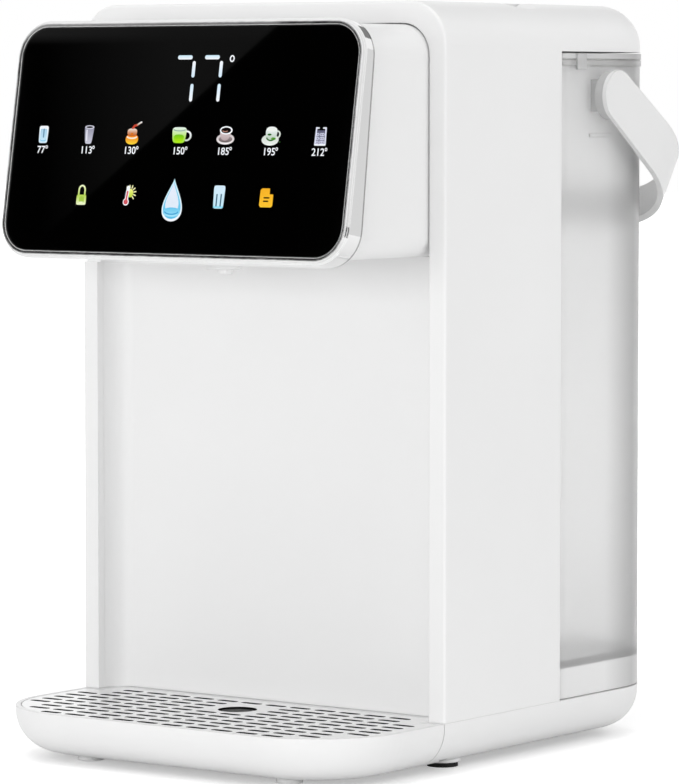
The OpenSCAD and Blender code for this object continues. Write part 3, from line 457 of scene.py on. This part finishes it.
def arc(middle, radii, start, end, count=28):
    """Part of an ellipse between two angles in degrees."""
    turn = np.radians(np.linspace(start, end, count))
    return np.stack([np.cos(turn) * radii[0], np.sin(turn) * radii[1]], -1) + middle


def ring(middle, radii, width, colour, layer=0):
    return stroke(arc(middle, radii, 0, 360, 33)[:-1], width, colour, layer, closed=True)


def teardrop(middle, size, count=72):
    """Drop outline: a circle whose width closes to a point at the top, sin(t) times a power of sin(t/2)."""
    turn = np.linspace(0, 2 * math.pi, count, endpoint=False)
    x = np.sin(turn) * np.sin(turn / 2) ** 1.6 * size[0] * 0.62
    return np.stack([-x, np.cos(turn) * size[1] / 2], -1) + middle


SNOW = (0.97, 0.98, 1.0)
ICE = (0.80, 0.92, 0.98)
PALE = (0.84, 0.93, 0.99)
SKY = (0.48, 0.80, 0.94)
SLATE = (0.30, 0.38, 0.46)
INK = (0.03, 0.03, 0.04)


def digits():
    """The reading: two sevens of three rounded bars each, and a degree ring."""
    drawn = []
    for right in (4.4, 18.4):
        drawn.append(stroke([(right - 7.8, 33.9), (right - 2.0, 33.9)], 1.7, (SNOW, ICE)))
        drawn.append(stroke([(right, 26.4), (right, 31.6)], 1.55, (PALE, SNOW)))
        drawn.append(stroke([(right, 16.5), (right, 22.2)], 1.55, (SNOW, PALE)))
    drawn.append(ring((23.7, 33.3), (0.95, 1.15), 0.55, SNOW))
    return drawn


def tumbler(x, y):
    """Clear glass of water."""
    return [plate(rounded((x, y), (5.4, 8.2), 7, 0.1), ((0.84, 0.93, 0.98), SNOW)),
            plate(rounded((x, y - 0.5), (3.9, 6.4), 6, 0.1), (ICE, (0.66, 0.82, 0.92)), 1),
            stroke([(x + 0.1, y + 2.4), (x + 0.1, y - 1.2)], 0.7, (0.42, 0.60, 0.72), 2),
            stroke(arc((x, y - 2.6), (1.5, 0.5), 180, 360), 0.4, SKY, 2)]


def tall_glass(x, y):
    """Tall glass of milk with a dark mouth."""
    return [plate(rounded((x, y), (4.7, 8.6), 6, 0.36), ((0.80, 0.80, 0.86), (0.56, 0.56, 0.64))),
            plate(rounded((x + 0.1, y + 3.6), (3.6, 1.1), 2), INK, 1),
            ring((x + 0.1, y + 3.6), (1.95, 0.65), 0.4, (0.84, 0.84, 0.9), 2),
            stroke([(x - 1.1, y + 2.2), (x - 0.8, y - 2.8)], 0.5, (0.92, 0.92, 0.96), 2)]


def honey_pot(x, y):
    """Round pot of honey with a dipper."""
    return [plate(rounded((x, y - 1.9), (6.2, 4.8), 2.3), ((1.0, 0.86, 0.25), (0.93, 0.42, 0.08))),
            plate(rounded((x - 0.1, y + 1.3), (4.7, 3.4), 3), ((0.72, 0.34, 0.12), (0.95, 0.90, 0.86)), 1),
            stroke(arc((x, y - 0.6), (2.4, 0.9), 200, 340), 0.7, (0.98, 0.94, 0.84), 2),
            plate(rounded((x - 0.1, y + 0.5), (1.5, 1.1), 2), (0.85, 0.45, 0.12), 2),
            stroke([(x + 0.1, y + 3.2), (x + 0.8, y + 4.3), (x + 1.9, y + 4.6)], 1.0, (0.78, 0.28, 0.20), 2),
            stroke([(x + 2.1, y + 4.7), (x + 4.0, y + 5.9)], 0.7, ((0.75, 0.62, 0.5), SNOW), 2)]


def mug(x, y):
    """Glass mug of green tea."""
    return [stroke(arc((x + 2.6, y - 0.2), (1.9, 2.1), -100, 100), 0.8, ((0.80, 0.84, 0.80), SNOW)),
            plate(rounded((x - 0.9, y + 0.1), (7.0, 7.4), 4.5, 0.2), ((0.62, 0.88, 0.16), (0.90, 0.95, 0.92)), 1),
            plate(rounded((x - 0.9, y - 1.5), (5.4, 3.8), 2.6, 0.3), ((0.72, 0.94, 0.10), (0.44, 0.76, 0.12)), 2),
            stroke(arc((x - 0.9, y + 2.7), (2.7, 0.6), 190, 350), 0.5, (0.60, 0.72, 0.66), 2)]


def cup_and_saucer(x, y):
    """Cup of coffee on its saucer."""
    blush = (0.90, 0.85, 0.85)
    return [plate(rounded((x, y - 1.5), (8.6, 5.0), 2), ((0.96, 0.94, 0.94), (0.78, 0.74, 0.75))),
            plate(rounded((x + 0.1, y - 1.6), (6.6, 3.0), 2), ((0.42, 0.38, 0.38), (0.66, 0.60, 0.61)), 1),
            plate(rounded((x - 0.2, y + 0.4), (5.8, 5.2), 2.6, 0.36), ((0.72, 0.64, 0.65), blush), 2),
            plate(rounded((x + 0.1, y + 2.4), (5.2, 2.9), 2), (0.05, 0.03, 0.03), 3),
            ring((x + 0.1, y + 2.4), (2.7, 1.6), 0.55, SNOW, 4),
            stroke(arc((x - 0.3, y + 2.4), (1.2, 0.6), 200, 330), 0.4, (0.72, 0.52, 0.46), 4)]


def leaf_cup(x, y):
    """Cup of tea with leaves."""
    leaf = (0.16, 0.42, 0.12)
    return [plate(rounded((x - 0.6, y - 1.7), (8.2, 5.0), 2), ((0.94, 0.96, 0.94), (0.80, 0.83, 0.80))),
            stroke(arc((x + 2.6, y + 0.7), (1.3, 1.5), -110, 110), 0.6, (0.86, 0.90, 0.86), 1),
            plate(rounded((x - 0.2, y + 0.9), (6.2, 6.4), 2.5, 0.3), ((0.70, 0.78, 0.70), SNOW), 2),
            plate(rounded((x - 0.1, y + 2.9), (5.0, 2.0), 2), (0.93, 0.95, 0.93), 3),
            stroke(arc((x - 0.3, y - 0.4), (2.0, 1.6), 200, 330), 0.6, leaf, 3),
            plate(rounded((x + 1.0, y - 1.2), (2.2, 1.2), 2), (0.34, 0.62, 0.20), 3),
            plate(rounded((x - 1.0, y + 0.6), (1.9, 0.9), 2), leaf, 3),
            plate(rounded((x + 4.1, y - 2.6), (0.7, 0.6), 2), (0.22, 0.36, 0.2), 1)]


def boiling_glass(x, y):
    """Glass of bubbling water: two walls, a foot and rows of bubbles."""
    rows = np.arange(9)
    spots = np.stack([x - 1.5 + (rows % 3) * 1.5 + 0.3 * np.sin(rows * 2.1), y - 2.7 + (rows // 3) * 1.75], -1)
    bubbles = [ring(spot, (0.55, 0.55), 0.3, (0.86, 0.87, 0.95), 2) for spot in spots]
    return [plate(rounded((x, y - 0.6), (5.2, 6.6), 8), ((0.58, 0.58, 0.68), (0.36, 0.36, 0.46))),
            stroke([(x - 2.4, y + 3.8), (x - 2.6, y - 3.6)], 0.7, (0.86, 0.87, 0.94), 1),
            stroke([(x + 2.4, y + 3.8), (x + 2.6, y - 3.6)], 0.7, (0.86, 0.87, 0.94), 1),
            stroke([(x - 2.5, y - 3.8), (x + 2.5, y - 3.8)], 0.7, SNOW, 2),
            stroke([(x - 2.4, y + 3.8), (x - 1.2, y + 3.7)], 0.6, (0.92, 0.93, 0.98), 2),
            stroke([(x + 1.2, y + 3.7), (x + 2.4, y + 3.8)], 0.6, (0.92, 0.93, 0.98), 2)] + bubbles


def padlock(x, y):
    """Closed lock: arched shackle over a rounded body."""
    lime, pale = (0.76, 0.86, 0.36), (0.95, 0.98, 0.82)
    shackle = np.vstack([[(x - 1.6, y - 0.6)], arc((x, y + 2.0), (1.6, 2.1), 180, 0), [(x + 1.6, y - 0.6)]])
    return [stroke(shackle, 0.75, (lime, pale)),
            plate(rounded((x, y - 2.3), (5.0, 4.6), 7), (pale, (0.70, 0.82, 0.30)), 1),
            plate(rounded((x + 0.2, y - 2.2), (2.6, 2.9), 4), (0.66, 0.80, 0.30), 2),
            stroke([(x - 0.6, y - 3.4), (x + 0.9, y - 3.4)], 0.5, pale, 3)]


def thermometer(x, y):
    """Thermometer before a half sun with rays."""
    rays = []
    for angle in range(-50, 131, 30):
        ray = np.radians(angle)
        aim = np.array([math.cos(ray), math.sin(ray)])
        heart = np.array([x + 0.8, y + 1.2])
        rays.append(stroke([heart + aim * 2.2, heart + aim * 3.4], 0.5, (0.98, 0.98, 0.74)))
    return rays + [
        plate(rounded((x + 0.9, y + 1.1), (3.4, 3.8), 2), ((0.72, 0.84, 0.22), (0.97, 0.97, 0.56))),
        stroke([(x - 1.2, y - 2.4), (x - 0.5, y + 3.4)], 1.9, SNOW, 1),
        plate(rounded((x - 1.3, y - 2.9), (3.4, 3.2), 2), SNOW, 1),
        stroke([(x - 1.2, y - 2.4), (x - 0.7, y + 1.6)], 1.0, (0.86, 0.40, 0.42), 2),
        plate(rounded((x - 1.3, y - 2.9), (2.5, 2.3), 2), (0.84, 0.34, 0.38), 2),
        stroke([(x - 2.4, y + 0.0), (x - 1.9, y + 0.0)], 0.3, SLATE, 2),
        stroke([(x - 2.2, y + 1.2), (x - 1.7, y + 1.2)], 0.3, SLATE, 2)]


def water_drop(x, y):
    """Large drop: light edge, blue body, pale middle and a clear foot."""
    return [plate(teardrop((x, y), (11.0, 17.6)), (SNOW, (0.78, 0.93, 0.98))),
            plate(teardrop((x, y - 0.1), (9.6, 15.4)), ((0.36, 0.76, 0.93), (0.60, 0.86, 0.96)), 1),
            plate(teardrop((x - 0.1, y + 0.7), (7.2, 12.6)), ((0.88, 0.93, 0.98), (0.90, 0.93, 0.99)), 2),
            plate(rounded((x, y - 5.0), (8.0, 3.8), 2.2), ((0.66, 0.90, 0.98), (0.40, 0.78, 0.94)), 3),
            stroke(arc((x, y - 4.8), (3.1, 1.1), 190, 350), 0.5, (0.24, 0.64, 0.86), 4)]


def measure_glass(x, y):
    """Measuring glass with two dark bars."""
    return [plate(rounded((x, y), (5.6, 9.4), 8, 0.14), ((0.78, 0.93, 0.98), (0.84, 0.93, 0.99))),
            stroke([(x - 1.0, y + 1.0), (x - 1.0, y - 4.0)], 0.6, (0.22, 0.40, 0.50), 1),
            stroke([(x + 1.1, y + 1.0), (x + 1.0, y - 4.0)], 0.6, (0.22, 0.40, 0.50), 1),
            stroke([(x - 2.1, y - 4.1), (x + 2.1, y - 4.1)], 0.6, (0.52, 0.86, 0.96), 2)]


def note_sheet(x, y):
    """Orange sheet with a folded corner and two dark lines."""
    edge = [(-2.9, -3.1), (-2.3, -3.9), (2.3, -3.9), (2.9, -3.2), (2.9, 1.4), (1.3, 1.5), (1.2, 3.9),
            (-2.1, 3.9), (-2.8, 3.2)]
    spots = np.array(edge + edge[:1], float)
    run = np.linspace(0, len(edge), 72, endpoint=False)
    outline = np.stack([np.interp(run, np.arange(len(spots)), spots[:, axis]) for axis in (0, 1)], -1)
    amber = ((1.0, 0.78, 0.20), (0.97, 0.70, 0.16))
    return [plate(outline + (x, y), amber),
            stroke([(x - 0.9, y + 0.0), (x + 1.1, y + 0.0)], 0.6, INK, 1),
            stroke([(x - 1.0, y - 1.4), (x + 0.7, y - 1.4)], 0.6, INK, 1)]


def laid_mesh(name, grids):
    """One mesh of many grids: point (i, j) of each joins its next row and next column; doubles are welded."""
    points, glows, faces, count = [], [], [], 0
    for grid, shine in grids:
        rows, columns = grid.shape[:2]
        wrap = columns if len(grid) == 4 else columns - 1
        i, j = np.meshgrid(np.arange(rows - 1), np.arange(wrap), indexing="ij")
        after = (j + 1) % columns
        this, following = i * columns, (i + 1) * columns
        quads = np.stack([this + j, following + j, following + after, this + after], -1)
        faces.append(quads.reshape(-1, 4) + count)
        points.append(grid.reshape(-1, 3))
        glows.append(shine.reshape(-1, 3))
        count += rows * columns
    mesh = bpy.data.meshes.new(name)
    mesh.from_pydata(np.concatenate(points).tolist(), [], np.concatenate(faces).tolist())
    carried = mesh.attributes.new("glow", "FLOAT_COLOR", "POINT")
    colours = np.concatenate(glows)
    carried.data.foreach_set("color", np.c_[colours, np.ones(len(colours))].ravel())
    weld(mesh)
    return mesh


def weld(mesh):
    """Merges doubles, drops what has no area and turns every closed shell outwards."""
    work = bmesh.new()
    work.from_mesh(mesh)
    bmesh.ops.remove_doubles(work, verts=work.verts, dist=DOUBLE)
    bmesh.ops.dissolve_degenerate(work, edges=work.edges, dist=SLIVER)
    bmesh.ops.recalc_face_normals(work, faces=work.faces)
    work.to_mesh(mesh)
    work.free()
    mesh.update()


def show(name, mesh, finish, body):
    """Puts a mesh in the scene as a piece that moves with a body."""
    piece = bpy.data.objects.new(name, mesh)
    bpy.context.scene.collection.objects.link(piece)
    mesh.materials.clear()
    mesh.materials.append(finish)
    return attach(piece, body)


def filled(curve):
    """Points and faces of a flat filled curve, drawn by an object that is then taken away."""
    holder = bpy.data.objects.new(curve.name, curve)
    bpy.context.scene.collection.objects.link(holder)
    drawn = holder.evaluated_get(bpy.context.evaluated_depsgraph_get())
    mesh = bpy.data.meshes.new_from_object(drawn)
    bpy.data.objects.remove(holder)
    spots = np.empty(len(mesh.vertices) * 3)
    mesh.vertices.foreach_get("co", spots)
    corners = [tuple(face.vertices) for face in mesh.polygons]
    bpy.data.meshes.remove(mesh)
    return spots.reshape(-1, 3), corners


def number_mesh(text, middle, size):
    """A plain number as a thin closed mesh: flat letters are filled first, then laid on the panel."""
    curve = bpy.data.curves.new("number", "FONT")
    curve.body = text
    curve.align_x = "CENTER"
    curve.align_y = "CENTER"
    curve.size = size
    curve.offset = NUMBER_WEIGHT * size
    curve.extrude = (LIFT - SUNK) / 2
    curve.resolution_u = 4
    spots, corners = filled(curve)
    placed = on_panel(spots[:, :2] + middle, spots[:, 2] + (LIFT + SUNK) / 2)
    return placed, corners, spots[:, 0].max() + middle[0]


glow = lit_print()
show("display_reading", laid_mesh("display_reading", digits()), glow, "housing")

KEY_X = (-71.5, -47.1, -24.1, 1.4, 24.3, 47.6, 72.0)
FIRST_ROW = 1.8
SECOND_ROW = -23.2
NUMBER_ROW = -4.7
NUMBER_SIZE = 4.3
NUMBER_LEFT = 0.6
NUMBER_WEIGHT = 0.008
DEGREE_SPOT = (0.75, 1.25)
DEGREE_R = (0.45, 0.55)
DEGREE_W = 0.32
# Each picture, with its width and height against its drawing
kinds = ((tumbler, 0.92, 0.88), (tall_glass, 1.1, 0.88), (honey_pot, 1.05, 0.9), (mug, 1.1, 0.88),
         (cup_and_saucer, 1.05, 0.9), (leaf_cup, 1.04, 0.92), (boiling_glass, 0.96, 0.9))
drawings = [(kind, x, FIRST_ROW, wide, tall) for (kind, wide, tall), x in zip(kinds, KEY_X)]
drawings += [(padlock, -47.7, SECOND_ROW, 1.0, 0.92), (thermometer, -22.8, SECOND_ROW, 0.88, 0.92),
             (water_drop, 0.4, SECOND_ROW - 1.5, 1.1, 1.0), (measure_glass, 24.0, SECOND_ROW, 1.04, 1.0),
             (note_sheet, 48.0, SECOND_ROW, 1.14, 0.98)]
pictures = []
for kind, x, y, wide, tall in drawings:
    heart = on_panel((x, y), 0.0)
    resized = np.eye(3) + (wide - 1) * np.outer(ACROSS, ACROSS) + (tall - 1) * np.outer(UPWARD, UPWARD)
    pictures += [(heart + (points - heart) @ resized, glows) for points, glows in kind(x, y)]
show("key_pictures", laid_mesh("key_pictures", pictures), glow, "housing")

placed, corners, rings, count = [], [], [], 0
for number, x in zip((77, 113, 130, 150, 185, 195, 212), KEY_X):
    spots, faces, right = number_mesh(str(number), np.array([x - NUMBER_LEFT, NUMBER_ROW]), NUMBER_SIZE)
    placed.append(spots)
    corners += [tuple(v + count for v in face) for face in faces]
    count += len(spots)
    rings.append(ring((right + DEGREE_SPOT[0], NUMBER_ROW + DEGREE_SPOT[1]), DEGREE_R, DEGREE_W, SNOW))
numbers = bpy.data.meshes.new("key_numbers")
numbers.from_pydata(np.concatenate(placed).tolist(), [], corners)
carried = numbers.attributes.new("glow", "FLOAT_COLOR", "POINT")
carried.data.foreach_set("color", np.tile((*linear(SNOW), 1.0), len(numbers.vertices)))
weld(numbers)
show("key_numbers", numbers, glow, "housing")
show("key_degrees", laid_mesh("key_degrees", rings), glow, "housing")


# Grate plate, in millimetres, inside the CAD grate's box

grate_low, grate_high = (np.array(corner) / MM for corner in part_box("drip_grate"))
FRONT_R = 40.5
TONGUE_HALF = 84.1
TONGUE_L = 13.2
TONGUE_R = 4.5
STEP_LAND = 4.0
HOLE_R = 8.25
HOLE_IN = 55.5
SLOT_L = 10.5
SLOT_W = 3.3
SLOT_LAND = 1.5
COLUMN_PITCH = 12.8
ROW_PITCH = 7.8
ROW_IN = 3.5
ROWS = 10
COLUMNS = 14


def grate_outline():
    """Straight sides with two large quarter circles in front, and a narrower tongue with small ones behind."""
    half, front, rear = grate_high[0], grate_low[1], grate_high[1]
    bend, joint = front + FRONT_R, rear - TONGUE_L
    inner, turn = TONGUE_HALF - TONGUE_R, rear - TONGUE_R
    return np.vstack([arc((half - FRONT_R, bend), (FRONT_R, FRONT_R), 0, -90),
                      arc((FRONT_R - half, bend), (FRONT_R, FRONT_R), -90, -180),
                      [(-half, joint), (-TONGUE_HALF, joint)],
                      arc((-inner, turn), (TONGUE_R, TONGUE_R), 180, 90, 8),
                      arc((inner, turn), (TONGUE_R, TONGUE_R), 90, 0, 8),
                      [(TONGUE_HALF, joint), (half, joint)]])


def grate_holes():
    """A round hole, and slots with half-round ends in straight rows and columns, wherever a land is left."""
    half, front, joint = grate_high[0], grate_low[1], grate_high[1] - TONGUE_L
    hole_y = front + HOLE_IN
    clear = HOLE_R + SLOT_W / 2 + SLOT_LAND
    end = (SLOT_W / 2, SLOT_W / 2)
    straight = np.array([(SLOT_L - SLOT_W) / 2, 0.0])
    holes = [arc((0.0, hole_y), (HOLE_R, HOLE_R), 0, 360, 49)[:-1]]
    for row in range(ROWS):
        y = front + ROW_IN + row * ROW_PITCH
        rise = max(0.0, front + FRONT_R - y)
        room = half - FRONT_R + math.sqrt(FRONT_R ** 2 - rise ** 2) if y < joint - STEP_LAND else TONGUE_HALF
        for column in range(COLUMNS):
            x = (column - (COLUMNS - 1) / 2) * COLUMN_PITCH
            by_hole = abs(y - hole_y) < clear and abs(x) < clear + SLOT_L / 2
            if abs(x) + SLOT_L / 2 + SLOT_LAND <= room and not by_hole:
                right, left = (x, y) + straight, (x, y) - straight
                holes.append(np.vstack([arc(right, end, -90, 90, 7), arc(left, end, 90, 270, 7)]))
    return holes


def punched_plate(name, loops, low, high):
    """Flat plate between two heights: the first loop filled but for the others, then given its thickness."""
    curve = bpy.data.curves.new(name, "CURVE")
    curve.dimensions = "2D"
    curve.fill_mode = "BOTH"
    curve.extrude = (high - low) / 2
    for loop in loops:
        spline = curve.splines.new("POLY")
        spline.points.add(len(loop) - 1)
        spline.points.foreach_set("co", np.c_[loop, np.zeros(len(loop)), np.ones(len(loop))].ravel())
        spline.use_cyclic_u = True
    spots, corners = filled(curve)
    mesh = bpy.data.meshes.new(name)
    mesh.from_pydata(((spots + (0.0, 0.0, (low + high) / 2)) * MM).tolist(), [], corners)
    weld(mesh)
    return mesh


plate_mesh = punched_plate("grate_plate", [grate_outline(), *grate_holes()], grate_low[2], grate_high[2])
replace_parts(show("grate_plate", plate_mesh, special["drip_grate"], "drip_grate"), "drip_grate")


# Studio: pale floor, white surroundings, soft lamps

CAMERA_SPOT = np.array((1.1128, -1.517, 0.2781))
FLOOR_REACH = (0.25, 1.1)
FLOOR_GLOW = 0.36
FLOOR_MIRRORED = 0.3


def oblong(middle, across, up):
    """Corners of a flat oblong: its middle plus and minus two half spans."""
    share = np.array([(-1, -1), (1, -1), (1, 1), (-1, 1)], float)
    return np.asarray(middle) + share[:, :1] * np.asarray(across) + share[:, 1:] * np.asarray(up)


def mirrored_glass(distance, margin, corner):
    """Outline of the glass on the plane it mirrors: the camera's ray to each edge point, turned about the glass."""
    turn = np.linspace(0, 2 * math.pi, 96, endpoint=False)
    round_about = np.stack([np.cos(turn), np.sin(turn)], -1)
    tall = (glass_high[2] - glass_low[2] - GLASS_T * math.sin(TILT)) / math.cos(TILT)
    half = np.array([glass_high[0] - glass_low[0], tall]) / 2 / MM + margin
    edge = on_panel(np.sign(round_about) * (half - corner) + round_about * corner, 0.0)
    spots = np.vstack([PANEL_MIDDLE, edge])
    look = (spots - CAMERA_SPOT) / np.linalg.norm(spots - CAMERA_SPOT, axis=1, keepdims=True)
    turned = look - 2 * (look @ OUTWARD)[:, None] * OUTWARD
    reach = (distance + (spots[0] - spots) @ turned[0]) / (turned @ turned[0])
    return (spots + turned * reach[:, None])[1:]


def flat_sheet(name, outline):
    """A flat stage sheet inside an outline."""
    mesh = bpy.data.meshes.new(name)
    mesh.from_pydata(np.asarray(outline).tolist(), [], [tuple(range(len(outline)))])
    sheet = bpy.data.objects.new(name, mesh)
    bpy.context.scene.collection.objects.link(sheet)
    return sheet


def seen_directly(add, mirrored):
    """1 for rays of the camera and through glass, a share for those of mirrors, 0 for light on the object."""
    kinds = [add("LightPath", out=name) for name in ("Is Camera Ray", "Is Transmission Ray", "Is Glossy Ray")]
    return kinds[0].most(kinds[1]).most(mirrored * kinds[2])


def pale_floor():
    """Pale matt floor that glows where it is seen, a little near the object and fully farther off."""
    finish = Finish("pale_floor", {"Roughness": 0.9, "Specular IOR Level": 0.0, "Emission Strength": 1.0})
    finish.feed("Base Color", finish.tint(grey(0.86), grey(0.89), finish.noise(30.0, 3.0)))
    reach = finish.node("VectorMath", {"operation": "LENGTH"}, {0: finish.place}, out="Value")
    near = finish.between(reach, *FLOOR_REACH, FLOOR_GLOW)
    seen = near * seen_directly(finish.node, FLOOR_MIRRORED)
    finish.feed("Emission Color", finish.tint(grey(0.0), grey(1.0), seen))
    return finish.material


floor = flat_sheet("floor", oblong((0.0, 0.0, 0.0), (9.0, 0.0, 0.0), (0.0, 9.0, 0.0)))
floor.data.materials.append(pale_floor())


class Surroundings(Finish):
    """The world's tree, with the same node method."""

    def __init__(self, world):
        world.use_nodes = True
        self.tree = world.node_tree
        self.tree.nodes.clear()
        self.shader = self.tree.nodes.new("ShaderNodeBackground")
        output = self.tree.nodes.new("ShaderNodeOutputWorld")
        self.tree.links.new(self.shader.outputs[0], output.inputs["Surface"])


AMBIENT = 0.6
world = bpy.data.worlds.new("white_room")
bpy.context.scene.world = world
room = Surroundings(world)
room.shader.inputs["Color"].default_value = grey(1.0)
room.feed("Strength", AMBIENT + (1.0 - AMBIENT) * seen_directly(room.node, 1.0))


def lamp(name, spot, aim, size, power):
    """Large soft lamp of a width and a height, looking from one spot at another, unseen in gloss and frost."""
    light = bpy.data.lights.new(name, "AREA")
    light.shape = "RECTANGLE"
    light.size, light.size_y = size
    light.energy = power
    holder = bpy.data.objects.new(name, light)
    bpy.context.scene.collection.objects.link(holder)
    holder.location = spot
    look = np.asarray(aim, float) - np.asarray(spot, float)
    holder.rotation_euler = (math.atan2(math.hypot(look[0], look[1]), -look[2]), 0.0,
                             math.atan2(look[1], look[0]) - math.pi / 2)
    holder.visible_camera = False
    holder.visible_glossy = False
    holder.visible_transmission = False


lamp("front_lamp", (0.0, -2.35, 0.36), (0.0, 0.0, 0.15), (2.0, 0.8), 21.0)
lamp("side_lamp", (2.4, 0.0, 0.2), (0.0, 0.0, 0.12), (1.6, 0.38), 13.5)
lamp("top_lamp", (0.1, -0.4, 2.3), (0.0, 0.0, 0.2), (1.6, 1.6), 15.0)
lamp("rear_lamp", (-1.3, 2.1, 0.7), (0.0, 0.0, 0.15), (1.8, 1.0), 12.0)


def dark_card(name, outline, level):
    """Dark card that shows only in gloss, as a flag beside a product does; its level may vary over it."""
    card = flat_sheet(name, outline)
    finish = Finish(name, {"Base Color": grey(0.0), "Specular IOR Level": 0.0, "Emission Strength": 1.0})
    share = level(finish) if callable(level) else level
    finish.feed("Emission Color", finish.tint(grey(0.0), grey(1.0), share * (0.95 + 0.1 * finish.noise(3.0))))
    card.data.materials.append(finish.material)
    card.visible_camera = False
    card.visible_diffuse = False
    card.visible_shadow = False
    card.visible_transmission = False


# The panel flag's edges: a direction, and the places along it where a tone starts and is full
GREY_GROWS = (-0.495, -0.436)
SLANT = (0.53, -0.6294, -0.5682)
SLANT_AT = (-0.0876, -0.0868)
STRIP = (-0.016, 0.324, 0.945)
STRIP_AT = (0.264, 0.2695)


def split_grey(finish):
    """Dark grey that grows from the left up to a slanting edge, black beyond it; a lighter strip on top."""
    grown = finish.between(finish.axis("X"), *GREY_GROWS)
    beyond = finish.between(finish.along(SLANT), *SLANT_AT)
    strip = finish.between(finish.along(STRIP), *STRIP_AT)
    return (0.15 * grown + 0.28 * strip * (1.0 - 0.9 * grown)) * (1.0 - beyond)


dark_card("panel_flag", mirrored_glass(distance=0.7, margin=1.5, corner=14.0), split_grey)
dark_card("camera_flag", oblong((1.3612, -1.8305, 0.2823), (0.32, 0.24, 0.0), (0.0, 0.0, 0.45)), 0.05)
dark_card("rear_flag", oblong((0.03, 0.7625, 0.77), (0.25, 0.0, 0.0), (0.0, -0.1, 0.2)), 0.24)
dark_card("side_flag", oblong((0.745, 0.42, 0.254), (0.23, -0.2875, 0.0), (0.0, 0.0, 0.25)), 0.76)


# Camera of the photograph: its focal length and rise in pixels, its angles in degrees

PHOTO_WIDTH = 679.0
FOCAL = 4398.0
RISE = -5.72
LOOK_DOWN = 3.8
LOOK_TURN = 36.28
SENSOR = 36.0
camera_data = bpy.data.cameras.new("photo_camera")
camera = bpy.data.objects.new("photo_camera", camera_data)
bpy.context.scene.collection.objects.link(camera)
camera_data.sensor_fit = "HORIZONTAL"
camera_data.sensor_width = SENSOR
camera_data.lens = FOCAL / PHOTO_WIDTH * SENSOR
camera_data.shift_y = RISE / PHOTO_WIDTH
camera.location = CAMERA_SPOT
camera.rotation_euler = (math.radians(90.0 - LOOK_DOWN), 0.0, math.radians(LOOK_TURN))
bpy.context.scene.camera = camera
bpy.context.scene.view_settings.view_transform = "Standard"
